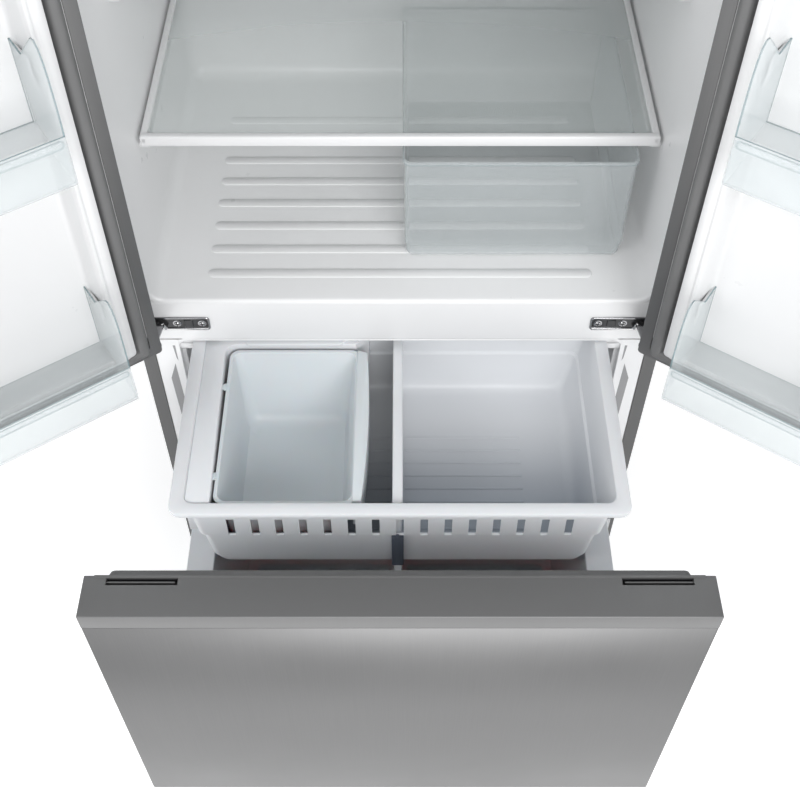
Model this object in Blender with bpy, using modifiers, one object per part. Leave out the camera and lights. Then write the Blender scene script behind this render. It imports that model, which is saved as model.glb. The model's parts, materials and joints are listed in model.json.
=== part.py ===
"""French door refrigerator with a bottom freezer drawer.

Metres, +Z up. X runs across the cabinet, and Y from front to back. Every piece is placed with the doors
and drawer shut, in cabinet coordinates: Y = 0 is the cabinet's front plane, Z = 0 is the floor. The last
step opens the doors and the drawer, and moves the cabinet so that the origin is the middle of the footprint.
"""

import math

import bmesh
import bpy
from mathutils import Matrix, Vector

# Driving dimensions
WIDTH = 0.833
HALF = WIDTH / 2
CASE_TOP = 1.715
CASE_BOTTOM = 0.045
CASE_DEPTH = 0.65
SHEET = 0.0016
GAP = 0.0003
FLANGE = 0.022
PLASTIC = 0.0025

# Compartments
FRESH_HALF = 0.385
FRESH_FLOOR = 0.745
FRESH_TOP = 1.68
BEAD_TOP = 0.7465
INNER_DEPTH = 0.575
FREEZER_HALF = 0.355
FREEZER_FLOOR = 0.150
FREEZER_TOP = 0.652
STEP_Y = 0.37
STEP_TOP = 0.30
MACHINE_Y = 0.41
MACHINE_TOP = 0.275
MULLION_BOTTOM = 0.6556
MULLION_TOP = 0.7420
CORNER = 0.025

# Doors
DOOR_BOTTOM = 0.703
DOOR_TOP = 1.712
DOOR_FRONT = -0.081
DOOR_BACK = -0.016
DOOR_GAP = 0.005
SKIN_RETURN = 0.018
FOOT_RETURN = 0.023
GASKET_WIDTH = 0.022
PANEL_EDGE = 0.0004
HINGE_X = 0.3965
HINGE_Y = -0.05
PIN_RADIUS = 0.005
PIN_HOLE = 0.0057
DOOR_OPEN = math.radians(145.3)
FLIP_X = -0.0405
FLIP_Y = 0.0205
FLIP_FOLD = math.radians(90)
FLIP_KNUCKLES = (0.86, 1.56)
BIN_FRONT = 0.090
BIN_BACK = -0.0265
BIN_X = (0.085, 0.3338)
BIN_BOTTOMS = {"lower": 0.748, "middle": 1.140, "upper": 1.44}
BIN_BACK_HEIGHT = 0.1415
BIN_FRONT_HEIGHT = 0.074
BIN_STEP_Y = 0.0205
BIN_STEP = 0.0205
BIN_WALL = 0.0022

# Freezer drawer
DRAWER_OUT = 0.432
FRONT_BOTTOM = 0.095
FRONT_TOP = 0.695
TRIM_BOTTOM = 0.6648
GRIP_X = (0.2915, 0.386)
GRIP_Y = (-0.034, -0.0225)
GRIP_DEPTH = 0.020
BASKET_Y = (0.105, 0.505)
BASKET_TOP = 0.650
BASKET_BOTTOM = 0.486
BASKET_FOOT_HALF = 0.284
BASKET_FOOT_Y = (0.122, 0.480)
RIM_HALF = 0.331
RIM_WIDTH = 0.021
RIM_HEIGHT = 0.010
GUIDE_Z = (0.620, 0.6392)
LOWER_Y = (0.012, 0.345)
LOWER_Z = (0.170, 0.482)
LOWER_HALF = 0.2865
LOWER_RIM_HALF = 0.328
LOWER_RIM_HEIGHT = 0.008
BRACKET_TOP = 0.4735
RAIL_Z = (0.400, 0.442)

# Crisper
CRISPER_X = (0.004, 0.350)
CRISPER_Y = (0.0925, 0.500)
CRISPER_Z = (0.7480, 0.936)

# What it stands on
LEG_X = 0.375
LEG_Y = 0.060
ROLLER_X = 0.370
ROLLER_Y = 0.590
ROLLER_RADIUS = 0.020

REAR_Y = CASE_DEPTH + 0.008
CABINET_Y = -(REAR_Y + DOOR_FRONT - DRAWER_OUT) / 2


def clear_scene():
    for obj in list(bpy.data.objects):
        bpy.data.objects.remove(obj, do_unlink=True)


def make_collection(name):
    collection = bpy.data.collections.new(name)
    bpy.context.scene.collection.children.link(collection)
    return collection


def make_finish(name, colour, roughness, metallic=0.0, transmission=0.0):
    finish = bpy.data.materials.new(name)
    finish.use_nodes = True
    shader = finish.node_tree.nodes["Principled BSDF"]
    shader.inputs["Base Color"].default_value = (*colour, 1.0)
    shader.inputs["Roughness"].default_value = roughness
    shader.inputs["Metallic"].default_value = metallic
    shader.inputs["Transmission Weight"].default_value = transmission
    return finish


def middle(span):
    return (span[0] + span[1]) / 2


def add_object(name, shape, place, parent, finish=None):
    """Makes a part, or a cutter if it has no finish, and hangs it on its parent as shut."""
    mesh = bpy.data.meshes.new(name)
    bmesh.ops.recalc_face_normals(shape, faces=shape.faces)
    shape.to_mesh(mesh)
    shape.free()
    obj = bpy.data.objects.new(name, mesh)
    obj.location = place
    obj.parent = parent
    obj.matrix_parent_inverse = Matrix.Translation(parent.location).inverted()
    if parent is CABINET:
        obj.matrix_parent_inverse = Matrix.Identity(4)
    if finish is None:
        CUTTERS.objects.link(obj)
        obj.hide_render = True
        obj.display_type = "WIRE"
    else:
        own = finish.copy()
        own.name = name + "_finish"
        mesh.materials.append(own)
        PARTS.objects.link(obj)
    return obj


def box(name, x, y, z, parent, finish=None, bevel=0.0):
    """A block between two values on each axis, with its edges rounded by bevel."""
    shape = bmesh.new()
    size = Matrix.Diagonal((x[1] - x[0], y[1] - y[0], z[1] - z[0], 1.0))
    bmesh.ops.create_cube(shape, size=1.0, matrix=size)
    if bevel:
        bmesh.ops.bevel(
            shape, geom=shape.edges[:], offset=bevel, segments=2, profile=0.5, affect="EDGES"
        )
    return add_object(name, shape, (middle(x), middle(y), middle(z)), parent, finish)


def rod(name, centre, axis, radius, length, parent, finish=None, sides=16):
    """A cylinder centred on a point, along X, Y or Z."""
    shape = bmesh.new()
    turn = Vector((0, 0, 1)).rotation_difference(Vector(axis)).to_matrix().to_4x4()
    bmesh.ops.create_cone(
        shape, cap_ends=True, segments=sides, radius1=radius, radius2=radius, depth=length, matrix=turn
    )
    return add_object(name, shape, centre, parent, finish)


def slab(name, points, axis, span, parent, finish=None):
    """A flat outline swept along X, Y or Z. Its points are the other two coordinates, in order."""
    shape = bmesh.new()
    order = {
        "X": lambda a, b: (span[0], a, b),
        "Y": lambda a, b: (a, span[0], b),
        "Z": lambda a, b: (a, b, span[0]),
    }
    sweep = {"X": (1, 0, 0), "Y": (0, 1, 0), "Z": (0, 0, 1)}[axis]
    corners = [shape.verts.new(order[axis](*point)) for point in points]
    face = bmesh.ops.contextual_create(shape, geom=corners)["faces"]
    swept = bmesh.ops.extrude_face_region(shape, geom=face)["geom"]
    moved = [item for item in swept if isinstance(item, bmesh.types.BMVert)]
    bmesh.ops.translate(shape, verts=moved, vec=Vector(sweep) * (span[1] - span[0]))
    return add_object(name, shape, (0, 0, 0), parent, finish)


def combine(obj, other, operation):
    modifier = obj.modifiers.new(other.name, "BOOLEAN")
    modifier.operation = operation
    modifier.solver = "EXACT"
    modifier.object = other
    return obj


def cut(obj, *cutters):
    for cutter in cutters:
        combine(obj, cutter, "DIFFERENCE")
    return obj


def join(obj, *others):
    for other in others:
        combine(obj, other, "UNION")
    return obj


def grown(span, amount):
    return (span[0] - amount, span[1] + amount)


def both_ways(span, side):
    """The span on the side given, +1 right or -1 left."""
    return span if side > 0 else (-span[1], -span[0])


def tub(name, x, y, z, wall, parent, finish):
    """A box with an open top."""
    outer = box(name, x, y, z, parent, finish)
    hollow = box(
        name + "_hollow", grown(x, -wall), grown(y, -wall), (z[0] + wall, z[1] + wall), parent
    )
    return cut(outer, hollow)


def ring(name, x, z, y, width, parent, finish):
    """A rectangular frame facing front, such as a door gasket."""
    outer = box(name, x, y, z, parent, finish)
    return cut(outer, box(name + "_hole", grown(x, -width), grown(y, width), grown(z, -width), parent))


def round_end(centre, radius, start, end, steps=6):
    """Points on an arc, angles in degrees."""
    angles = [math.radians(start + (end - start) * i / steps) for i in range(steps + 1)]
    return [(centre[0] + radius * math.cos(a), centre[1] + radius * math.sin(a)) for a in angles]


# Cabinet


def cabinet_shell():
    shell = box("cabinet_shell", (-HALF, HALF), (0, CASE_DEPTH), (CASE_BOTTOM, CASE_TOP), CABINET, GREY)
    inside = box(
        "shell_inside",
        (SHEET - HALF, HALF - SHEET),
        (SHEET, CASE_DEPTH + SHEET),
        (CASE_BOTTOM - SHEET, CASE_TOP - SHEET),
        CABINET,
    )
    mouth = box(
        "shell_mouth",
        (FLANGE - HALF, HALF - FLANGE),
        (-SHEET, 2 * SHEET),
        (CASE_BOTTOM - SHEET, CASE_TOP - FLANGE),
        CABINET,
    )
    return cut(shell, inside, mouth)


def liner(name, half, profile, flange_out, flange_up, flange_down):
    """An open moulded compartment: rounded inside corners, and a flange round its mouth."""
    shape = bmesh.new()
    corners = [shape.verts.new((-half, *point)) for point in profile]
    face = bmesh.ops.contextual_create(shape, geom=corners)["faces"]
    swept = bmesh.ops.extrude_face_region(shape, geom=face)["geom"]
    moved = [item for item in swept if isinstance(item, bmesh.types.BMVert)]
    bmesh.ops.translate(shape, verts=moved, vec=(2 * half, 0, 0))
    front = min(point[0] for point in profile)
    rounded = [edge for edge in shape.edges if any(v.co.y > front + GAP for v in edge.verts)]
    bmesh.ops.recalc_face_normals(shape, faces=shape.faces)
    bmesh.ops.bevel(
        shape, geom=rounded, offset=CORNER, segments=3, profile=0.5, affect="EDGES", clamp_overlap=True
    )
    mouth = [f for f in shape.faces if all(v.co.y < front + GAP for v in f.verts)]
    bmesh.ops.delete(shape, geom=mouth, context="FACES_ONLY")
    rim = [edge for edge in shape.edges if edge.is_boundary]
    grown_rim = bmesh.ops.extrude_edge_only(shape, edges=rim)["geom"]
    centre = middle((min(p[1] for p in profile), max(p[1] for p in profile)))
    for vert in [item for item in grown_rim if isinstance(item, bmesh.types.BMVert)]:
        vert.co.x += math.copysign(flange_out, vert.co.x)
        vert.co.z += flange_up if vert.co.z > centre else -flange_down
    obj = add_object(name, shape, (0, 0, 0), CABINET, WHITE)
    wall = obj.modifiers.new("wall", "SOLIDIFY")
    wall.thickness = PLASTIC
    wall.offset = 1.0
    wall.use_even_offset = True
    return obj


def fresh_food_liner():
    front = SHEET / 2
    profile = [
        (front, FRESH_FLOOR),
        (INNER_DEPTH, FRESH_FLOOR),
        (INNER_DEPTH, FRESH_TOP),
        (front, FRESH_TOP),
    ]
    shape = liner("fresh_food_liner", FRESH_HALF, profile, HALF - FLANGE - GAP - FRESH_HALF, 0.0115, 0.0015)
    ribs = [(0.050 + 0.0545 * i, 0.019) for i in range(8)]
    for i, (low, width) in enumerate([(front + GAP, 0.005), *ribs]):
        half = FRESH_HALF - CORNER if i == 0 else 0.30
        rib = (FRESH_FLOOR - PLASTIC / 2, BEAD_TOP)
        join(shape, box(f"floor_rib_{i}", (-half, half), (low, low + width), rib, CABINET))
    return shape


def freezer_liner():
    front = SHEET / 2
    profile = [
        (front, FREEZER_FLOOR),
        (STEP_Y, FREEZER_FLOOR),
        (STEP_Y + 0.02, STEP_TOP),
        (INNER_DEPTH, STEP_TOP),
        (INNER_DEPTH, FREEZER_TOP),
        (front, FREEZER_TOP),
    ]
    shape = liner("freezer_liner", FREEZER_HALF, profile, HALF - FLANGE - GAP - FREEZER_HALF, 0.0002, 0.045)
    for side in (-1, 1):
        ledge = both_ways((0.3190, FREEZER_HALF + 0.001), side)
        join(shape, box(f"basket_guide_{side}", ledge, (0.012, 0.500), GUIDE_Z, CABINET))
    return shape


def foam_insulation():
    side = (SHEET + GAP - HALF, HALF - SHEET - GAP)
    foam = box("foam_insulation", side, (0.006, 0.6476), (0.052, CASE_TOP - SHEET - GAP), CABINET, FOAM)
    fresh = box(
        "foam_fresh",
        (-FRESH_HALF - 0.003, FRESH_HALF + 0.003),
        (0, INNER_DEPTH + 0.003),
        (FRESH_FLOOR - 0.003, FRESH_TOP + 0.003),
        CABINET,
    )
    freezer_low = box(
        "foam_freezer_low",
        (-FREEZER_HALF - 0.003, FREEZER_HALF + 0.003),
        (0, STEP_Y + 0.0235),
        (FREEZER_FLOOR - 0.003, FREEZER_TOP + 0.003),
        CABINET,
    )
    freezer_high = box(
        "foam_freezer_high",
        (-FREEZER_HALF - 0.003, FREEZER_HALF + 0.003),
        (STEP_Y, INNER_DEPTH + 0.003),
        (STEP_TOP - 0.0205, FREEZER_TOP + 0.003),
        CABINET,
    )
    machine = box("foam_machine", (-HALF, HALF), (MACHINE_Y, CASE_DEPTH), (0, MACHINE_TOP), CABINET)
    rail = box("foam_rail", (-HALF, HALF), (0, 0.042), (MULLION_BOTTOM - 0.005, FRESH_FLOOR), CABINET)
    legs = [
        rod(f"foam_leg_{n}", (x, LEG_Y, 0.06), (0, 0, 1), 0.009, 0.06, CABINET, sides=8)
        for n, x in (("left", -LEG_X), ("right", LEG_X))
    ]
    toe = box("foam_toe", (-HALF, HALF), (0, 0.020), (0, 0.095), CABINET)
    return cut(foam, fresh, freezer_low, freezer_high, machine, rail, toe, *legs)


def back_panel():
    side = (SHEET + GAP - HALF, HALF - SHEET - GAP)
    return box("back_panel", side, (0.648, 0.6494), (MACHINE_TOP + 0.002, CASE_TOP - 0.003), CABINET, STEEL)


def base_pan():
    pan = box("base_pan", (-0.4135, 0.4135), (0.018, 0.646), (0.0455, 0.0485), CABINET, STEEL)
    for side in (-1, 1):
        for k, x in enumerate((ROLLER_X - 0.0135, ROLLER_X + 0.0115)):
            span = both_ways((x, x + 0.002), side)
            cheek = box(
                f"roller_cheek_{side}_{k}",
                span,
                (ROLLER_Y - 0.012, ROLLER_Y + 0.012),
                (0.012, 0.0465),
                CABINET,
            )
            join(pan, cheek)
        axle = (side * ROLLER_X, ROLLER_Y, ROLLER_RADIUS)
        bore = rod(f"roller_bore_{side}", axle, (1, 0, 0), 0.0036, 0.05, CABINET)
        hole = rod(f"leg_hole_{side}", (side * LEG_X, LEG_Y, 0.047), (0, 0, 1), 0.0058, 0.02, CABINET)
        cut(pan, bore, hole)
    return pan


def levelling_leg(side, name):
    """A screwed stem with a round foot, turned to level the cabinet."""
    parent = EMPTIES[f"{name}_leg_axis"]
    foot = rod(f"{name}_levelling_leg", (side * LEG_X, LEG_Y, 0.005), (0, 0, 1), 0.018, 0.010, parent, STEEL)
    stem = rod(f"{name}_leg_stem", (side * LEG_X, LEG_Y, 0.0395), (0, 0, 1), 0.005, 0.061, parent)
    nut = rod(f"{name}_leg_nut", (side * LEG_X, LEG_Y, 0.0135), (0, 0, 1), 0.0095, 0.009, parent, sides=6)
    return join(foot, stem, nut)


def rear_roller(side, name):
    """A plain wheel whose pin turns in the two cheeks of the base pan."""
    parent = EMPTIES[f"{name}_roller_axis"]
    centre = (side * ROLLER_X, ROLLER_Y, ROLLER_RADIUS)
    wheel = rod(f"{name}_rear_roller", centre, (1, 0, 0), ROLLER_RADIUS, 0.020, parent, BLACK, 20)
    pin = rod(f"{name}_roller_pin", centre, (1, 0, 0), 0.003, 0.030, parent)
    return join(wheel, pin)


def base_grille():
    grille = box("base_grille", (-0.392, 0.392), (0.002, 0.014), (0.016, 0.090), CABINET, GREY)
    for i in range(9):
        low = -0.346 + 0.077 * i
        cut(grille, box(f"grille_slot_{i}", (low, low + 0.060), (-0.01, 0.03), (0.040, 0.072), CABINET))
    return grille


def mullion_rail():
    return box("mullion_rail", (-0.394, 0.394), (0, 0.040), (MULLION_BOTTOM, MULLION_TOP), CABINET, WHITE)


def machine_cover():
    side = (SHEET + GAP - HALF, HALF - SHEET - GAP)
    cover = box("machine_cover", side, (0.648, 0.6494), (0.049, MACHINE_TOP + 0.0015), CABINET, STEEL)
    for i in range(8):
        low = -0.30 + 0.075 * i
        cut(cover, box(f"louvre_{i}", (low, low + 0.05), (0.64, 0.66), (0.170, 0.180), CABINET))
    hole = rod("gland_hole", (0.30, 0.65, 0.11), (0, 1, 0), 0.0105, 0.04, CABINET)
    return cut(cover, hole)


def cord_gland():
    """The plastic bush in the machine cover that the mains lead passes through."""
    flange = rod(
        "cord_gland", (0.30, (0.6497 + REAR_Y) / 2, 0.11), (0, 1, 0), 0.015, REAR_Y - 0.6497, CABINET, BLACK
    )
    sleeve = rod("gland_sleeve", (0.30, 0.645, 0.11), (0, 1, 0), 0.0100, 0.014, CABINET)
    bore = rod("gland_bore", (0.30, 0.65, 0.11), (0, 1, 0), 0.0045, 0.05, CABINET)
    return cut(join(flange, sleeve), bore)


def compressor():
    """A domed steel pot on a mounting plate."""
    shape = bmesh.new()
    size = Matrix.Diagonal((0.085, 0.075, 0.085, 1.0))
    bmesh.ops.create_uvsphere(shape, u_segments=16, v_segments=10, radius=1.0, matrix=size)
    pot = add_object("compressor", shape, (-0.22, 0.535, 0.155), CABINET, BLACK)
    plate = box("compressor_plate", (-0.32, -0.12), (0.455, 0.615), (0.0492, 0.0520), CABINET)
    feet = [
        rod(
            f"compressor_foot_{i}", (-0.22 + dx, 0.535 + dy, 0.075), (0, 0, 1), 0.010, 0.048, CABINET, sides=8
        )
        for i, (dx, dy) in enumerate([(-0.045, 0), (0.045, 0)])
    ]
    return join(pot, plate, *feet)


def finned_block(name, x, y, z, slots, parent):
    """A heat exchanger: a block with a row of deep slots between its fins."""
    block = box(name, x, y, z, parent, ALUMINIUM)
    pitch = (x[1] - x[0]) / slots
    for i in range(slots):
        low = x[0] + pitch * (i + 0.25)
        slot = box(
            f"{name}_slot_{i}", (low, low + pitch / 2), (y[0] - 0.01, y[1] - 0.006), grown(z, -0.012), parent
        )
        cut(block, slot)
    return block


def drain_pan():
    return tub("drain_pan", (0.13, 0.37), (0.44, 0.63), (0.0492, 0.072), 0.002, CABINET, BLACK)


def fan(name, centre, axis, radius, depth, parent):
    """A hub with five pitched blades, turning about the axis."""
    hub = rod(name, centre, axis, radius * 0.3, depth, parent, BLACK, 12)
    along = Vector(axis)
    for i in range(5):
        shape = bmesh.new()
        size = Matrix.Diagonal((radius * 0.85, radius * 0.50, 0.002, 1.0))
        bmesh.ops.create_cube(shape, size=1.0, matrix=size)
        pitch = Matrix.Rotation(math.radians(28), 4, "X")
        out = Matrix.Translation((radius * 0.57, 0, 0))
        spin = Matrix.Rotation(math.tau * i / 5, 4, "Z")
        turn = Vector((0, 0, 1)).rotation_difference(along).to_matrix().to_4x4()
        bmesh.ops.transform(shape, matrix=turn @ spin @ out @ pitch, verts=shape.verts)
        join(hub, add_object(f"{name}_blade_{i}", shape, centre, parent))
    return hub


def evaporator_cover():
    cover = box("evaporator_cover", (-0.345, 0.345), (0.522, 0.5245), (0.310, 0.640), CABINET, WHITE)
    vent = rod("fan_vent", (0, 0.523, 0.585), (0, 1, 0), 0.044, 0.03, CABINET, sides=24)
    return cut(cover, vent)


def air_duct_panel():
    """The cold air column up the back of the fresh food compartment."""
    duct = box("air_duct_panel", (-0.09, 0.09), (0.556, INNER_DEPTH - 0.0004), (1.0, 1.60), CABINET, WHITE)
    for i in range(4):
        z = 1.06 + 0.14 * i
        cut(duct, box(f"duct_slot_{i}", (-0.06, 0.06), (0.55, 0.566), (z, z + 0.012), CABINET))
    return duct


def control_panel():
    """The housing for the controls and the lamp, under the roof of the fresh food compartment."""
    return box(
        "control_panel", (-0.16, 0.16), (0.030, 0.290), (1.655, FRESH_TOP - 0.0004), CABINET, WHITE, 0.004
    )


def glass_shelf(name, z):
    """A sheet of glass with a trim along its front and back edges."""
    pane = box(name, (-0.380, 0.380), (0.130, 0.540), (z, z + 0.004), CABINET, CLEAR)
    front = box(name + "_trim", (-0.380, 0.380), (0.124, 0.136), (z - 0.010, z + 0.008), CABINET)
    back = box(name + "_back", (-0.380, 0.380), (0.532, 0.546), (z - 0.006, z + 0.016), CABINET)
    return join(pane, front, back)


def crisper_drawer():
    crisper = tub(
        "crisper_drawer", CRISPER_X, CRISPER_Y, CRISPER_Z, BIN_WALL, EMPTIES["crisper_track"], CLEAR
    )
    return crisper


# Hinges


def hinge_arm(name, side, z, back, inner, finish=None):
    """A flat plate that reaches forward from the cabinet to round the hinge pin."""
    tip = round_end((HINGE_X, HINGE_Y), 0.0155, 0, -180)
    outline = [(HINGE_X + 0.0155, back), *tip, (inner, HINGE_Y), (inner, back)]
    points = [(side * x, y) for x, y in outline]
    return slab(name, points, "Z", z, CABINET, finish)


def top_hinge(side, name):
    arm = hinge_arm(f"{name}_top_hinge", side, (1.7153, 1.7183), 0.11, 0.345, CHROME)
    pin = rod(f"{name}_top_pin", (side * HINGE_X, HINGE_Y, 1.704), (0, 0, 1), PIN_RADIUS, 0.026, CABINET)
    screws = [
        rod(f"{name}_top_screw_{i}", (side * x, y, 1.7195), (0, 0, 1), 0.006, 0.004, CABINET, sides=12)
        for i, (x, y) in enumerate([(0.358, 0.09), (0.395, 0.09), (0.376, 0.045)])
    ]
    return join(arm, pin, *screws)


def hinge_cover(side, name):
    x = both_ways((0.336, 0.4160), side)
    cover = box(f"{name}_hinge_cover", x, (-0.078, 0.125), (1.7156, 1.742), CABINET, GREY, 0.004)
    hollow = box(f"{name}_cover_hollow", grown(x, -0.002), (-0.076, 0.123), (1.70, 1.7395), CABINET)
    return cut(cover, hollow)


def centre_hinge(side, name):
    """A bracket screwed to the mullion. Its arm carries the door's lower pin and a stop."""
    plate = box(
        f"{name}_centre_hinge",
        both_ways((0.297, 0.4145), side),
        (-0.0028, -GAP),
        (0.684, 0.707),
        CABINET,
        CHROME,
    )
    arm = hinge_arm(f"{name}_centre_arm", side, (0.6965, 0.7005), -0.0015, 0.374)
    pin = rod(f"{name}_centre_pin", (side * HINGE_X, HINGE_Y, 0.712), (0, 0, 1), PIN_RADIUS, 0.026, CABINET)
    stop = rod(f"{name}_door_stop", (side * 0.372, -0.051, 0.6996), (0, 0, 1), 0.0062, 0.0062, CABINET)
    screws = [
        rod(f"{name}_screw_{i}", (side * x, -0.004, 0.6955), (0, 1, 0), 0.0055, 0.004, CABINET, sides=12)
        for i, x in enumerate((0.309, 0.348))
    ]
    return join(plate, arm, pin, stop, *screws)


# Doors


def door_span(side):
    return both_ways((DOOR_GAP / 2, HALF), side)


def pan(name, x, z, foot, top, parent, finish):
    """A folded steel pan, open at the back, with flanges turned in that are foot high below and top above."""
    y = (DOOR_FRONT, DOOR_BACK)
    skin = box(name, x, y, z, parent, finish)
    hollow = box(name + "_hollow", grown(x, -SHEET), grown(y, -SHEET), grown(z, -SHEET), parent)
    mouth_z = (z[0] + foot, z[1] - top)
    mouth = box(
        name + "_mouth", grown(x, -SKIN_RETURN), (DOOR_BACK - 0.01, DOOR_BACK + 0.01), mouth_z, parent
    )
    return cut(skin, hollow, mouth)


def door_skin(side, name):
    parent = EMPTIES[f"{name}_door_axis"]
    skin = pan(
        f"{name}_door_skin", door_span(side), (DOOR_BOTTOM, DOOR_TOP), FOOT_RETURN, SKIN_RETURN, parent, GREY
    )
    holes = [
        rod(f"{name}_pin_hole_{i}", (side * HINGE_X, HINGE_Y, z), (0, 0, 1), PIN_HOLE, 0.03, parent)
        for i, z in enumerate((DOOR_BOTTOM, DOOR_TOP))
    ]
    return cut(skin, *holes)


def raised_panel(name, x, z, rings, drop, parent):
    """A moulded inner panel. Each ring is how far it steps in and how far it rises."""
    shape = bmesh.new()
    size = Matrix.Diagonal((x[1] - x[0], z[1] - z[0], 1, 1))
    turn = Matrix.Rotation(math.radians(-90), 4, "X")
    bmesh.ops.create_grid(shape, x_segments=1, y_segments=1, size=0.5, matrix=turn @ size)
    for number, (inward, rise) in enumerate(rings):
        centre = max(shape.faces, key=lambda face: face.calc_area())
        bmesh.ops.inset_individual(
            shape, faces=[centre], thickness=inward, depth=rise, use_even_offset=True
        )
        centre = max(shape.faces, key=lambda face: face.calc_area())
        if number == 2:
            for vert in [v for v in centre.verts if v.co.z < 0]:
                vert.co.z -= drop
    obj = add_object(name, shape, (middle(x), DOOR_BACK + GAP, middle(z)), parent, WHITE)
    wall = obj.modifiers.new("wall", "SOLIDIFY")
    wall.thickness = 0.0022
    wall.offset = -1.0 if panel_faces_back(obj) else 1.0
    wall.use_even_offset = True
    return obj


def panel_faces_back(obj):
    """True when the flat edge of the panel has its normal towards the cabinet."""
    return obj.data.polygons[0].normal.y > 0


def door_liner(side, name):
    """The white inner panel: a flat seat for the gasket, a raised dyke, and a recess for the bins."""
    parent = EMPTIES[f"{name}_door_axis"]
    x = grown(door_span(side), -SKIN_RETURN - PANEL_EDGE)
    z = (DOOR_BOTTOM + FOOT_RETURN + PANEL_EDGE, DOOR_TOP - SKIN_RETURN - PANEL_EDGE)
    rings = [(0.0235, 0.0), (0.006, 0.034), (0.024, 0.0), (0.008, -0.045)]
    panel = raised_panel(f"{name}_door_liner", x, z, rings, 0.022, parent)
    panel.location.y -= GAP + 0.0001
    if side < 0:
        for i, span in enumerate(flipper_ears()):
            join(panel, box(f"flipper_ear_{i}", (-0.058, FLIP_X + 0.004), (0.0155, 0.0245), span, parent))
    return panel


def flipper_ears():
    """Heights of the two ears above and below each knuckle of the flipper."""
    spans = []
    for z in FLIP_KNUCKLES:
        spans += [(z - 0.0305, z - 0.0260), (z + 0.0260, z + 0.0305)]
    return spans


def door_gasket(side, name):
    parent = EMPTIES[f"{name}_door_axis"]
    x = grown(door_span(side), -SKIN_RETURN - 0.001)
    z = (DOOR_BOTTOM + FOOT_RETURN - 0.009, DOOR_TOP - SKIN_RETURN - 0.001)
    return ring(f"{name}_door_gasket", x, z, (DOOR_BACK + GAP, -GAP), GASKET_WIDTH, parent, RUBBER)


def bin_profile(inset, over):
    """Side view of a door bin: tall at the door, swept down to a lower front with a round foot."""
    back, front = BIN_BACK + inset, BIN_FRONT - inset
    foot = round_end((front - 0.018, 0.018 + inset), 0.018, -90, 0, 4)
    step = BIN_STEP + inset
    points = [(back, step), (BIN_STEP_Y + inset, step), (BIN_STEP_Y + inset, inset), *foot]
    if over:
        return [*points, (front, 0.2), (back, 0.2)]
    sweep = [
        (front - (front - back) * t, BIN_FRONT_HEIGHT + (BIN_BACK_HEIGHT - BIN_FRONT_HEIGHT) * t**1.6)
        for t in (0.0, 0.3, 0.55, 0.75)
    ]
    return [*points, *sweep, (back, BIN_BACK_HEIGHT)]


def door_bin(side, name, level, bottom):
    parent = EMPTIES[f"{name}_door_axis"]
    x = both_ways(BIN_X, side)
    outer = slab(f"{name}_door_bin_{level}", bin_profile(0, False), "X", x, parent, CLEAR)
    inner = slab(f"{name}_bin_hollow_{level}", bin_profile(BIN_WALL, True), "X", grown(x, -BIN_WALL), parent)
    outer.location.z = inner.location.z = bottom
    return cut(outer, inner)


def flipper_mullion():
    """The bar on the left door that turns across the gap between the two shut doors."""
    parent = EMPTIES["flipper_axis"]
    bar = box("flipper_mullion", (-0.036, 0.034), (GAP * 2, 0.0185), (0.775, 1.645), parent, GREY, 0.002)
    for i, z in enumerate(FLIP_KNUCKLES):
        join(bar, rod(f"flipper_knuckle_{i}", (FLIP_X, FLIP_Y, z), (0, 0, 1), 0.0055, 0.05, parent, sides=12))
        join(bar, box(f"flipper_web_{i}", (FLIP_X, -0.03), (0.0155, 0.0185), (z - 0.025, z + 0.025), parent))
    return bar


# Freezer drawer


def drawer_skin():
    z = (FRONT_BOTTOM, TRIM_BOTTOM - GAP)
    return pan("drawer_front_skin", (-HALF, HALF), z, FOOT_RETURN, -SKIN_RETURN, DRAWER, GREY)


def drawer_top_trim():
    """The cap along the top of the drawer front, with a finger grip sunk into it at each end."""
    y, z = (DOOR_FRONT, -0.0192), (TRIM_BOTTOM, FRONT_TOP)
    trim = box("drawer_top_trim", (-HALF, HALF), y, z, DRAWER, GREY, 0.0015)
    for side in (-1, 1):
        x = both_ways(GRIP_X, side)
        cut(trim, box(f"grip_{side}", x, GRIP_Y, (FRONT_TOP - GRIP_DEPTH, FRONT_TOP + 0.01), DRAWER))
    return trim


def drawer_inner_panel():
    x = (SKIN_RETURN + PANEL_EDGE - HALF, HALF - SKIN_RETURN - PANEL_EDGE)
    z = (FRONT_BOTTOM + FOOT_RETURN + PANEL_EDGE, 0.690)
    panel = raised_panel("drawer_inner_panel", x, z, [(0.048, 0.0), (0.006, 0.022)], 0, DRAWER)
    panel.location.y -= GAP + 0.0001
    return panel


def drawer_gasket():
    return ring(
        "drawer_gasket", (-0.392, 0.392), (0.1220, 0.680), (DOOR_BACK + GAP, -GAP), 0.024, DRAWER, RUBBER
    )


def lower_basket():
    """The deep basket behind the drawer front, with a wide rim that hangs on the side brackets."""
    x = (-LOWER_HALF, LOWER_HALF)
    basket = box("lower_basket", x, LOWER_Y, LOWER_Z, DRAWER, WHITE)
    rim_x = (-LOWER_RIM_HALF, LOWER_RIM_HALF)
    join(basket, box("lower_rim", rim_x, LOWER_Y, (LOWER_Z[1] - LOWER_RIM_HEIGHT, LOWER_Z[1]), DRAWER))
    inside_z = (LOWER_Z[0] + PLASTIC, LOWER_Z[1] + PLASTIC)
    cut(basket, box("lower_hollow", grown(x, -PLASTIC), grown(LOWER_Y, -PLASTIC), inside_z, DRAWER))
    divider_z = (LOWER_Z[0] + 0.001, LOWER_Z[1] - 0.012)
    return join(basket, box("lower_divider", (-0.010, 0.004), grown(LOWER_Y, -0.001), divider_z, DRAWER))


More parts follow.
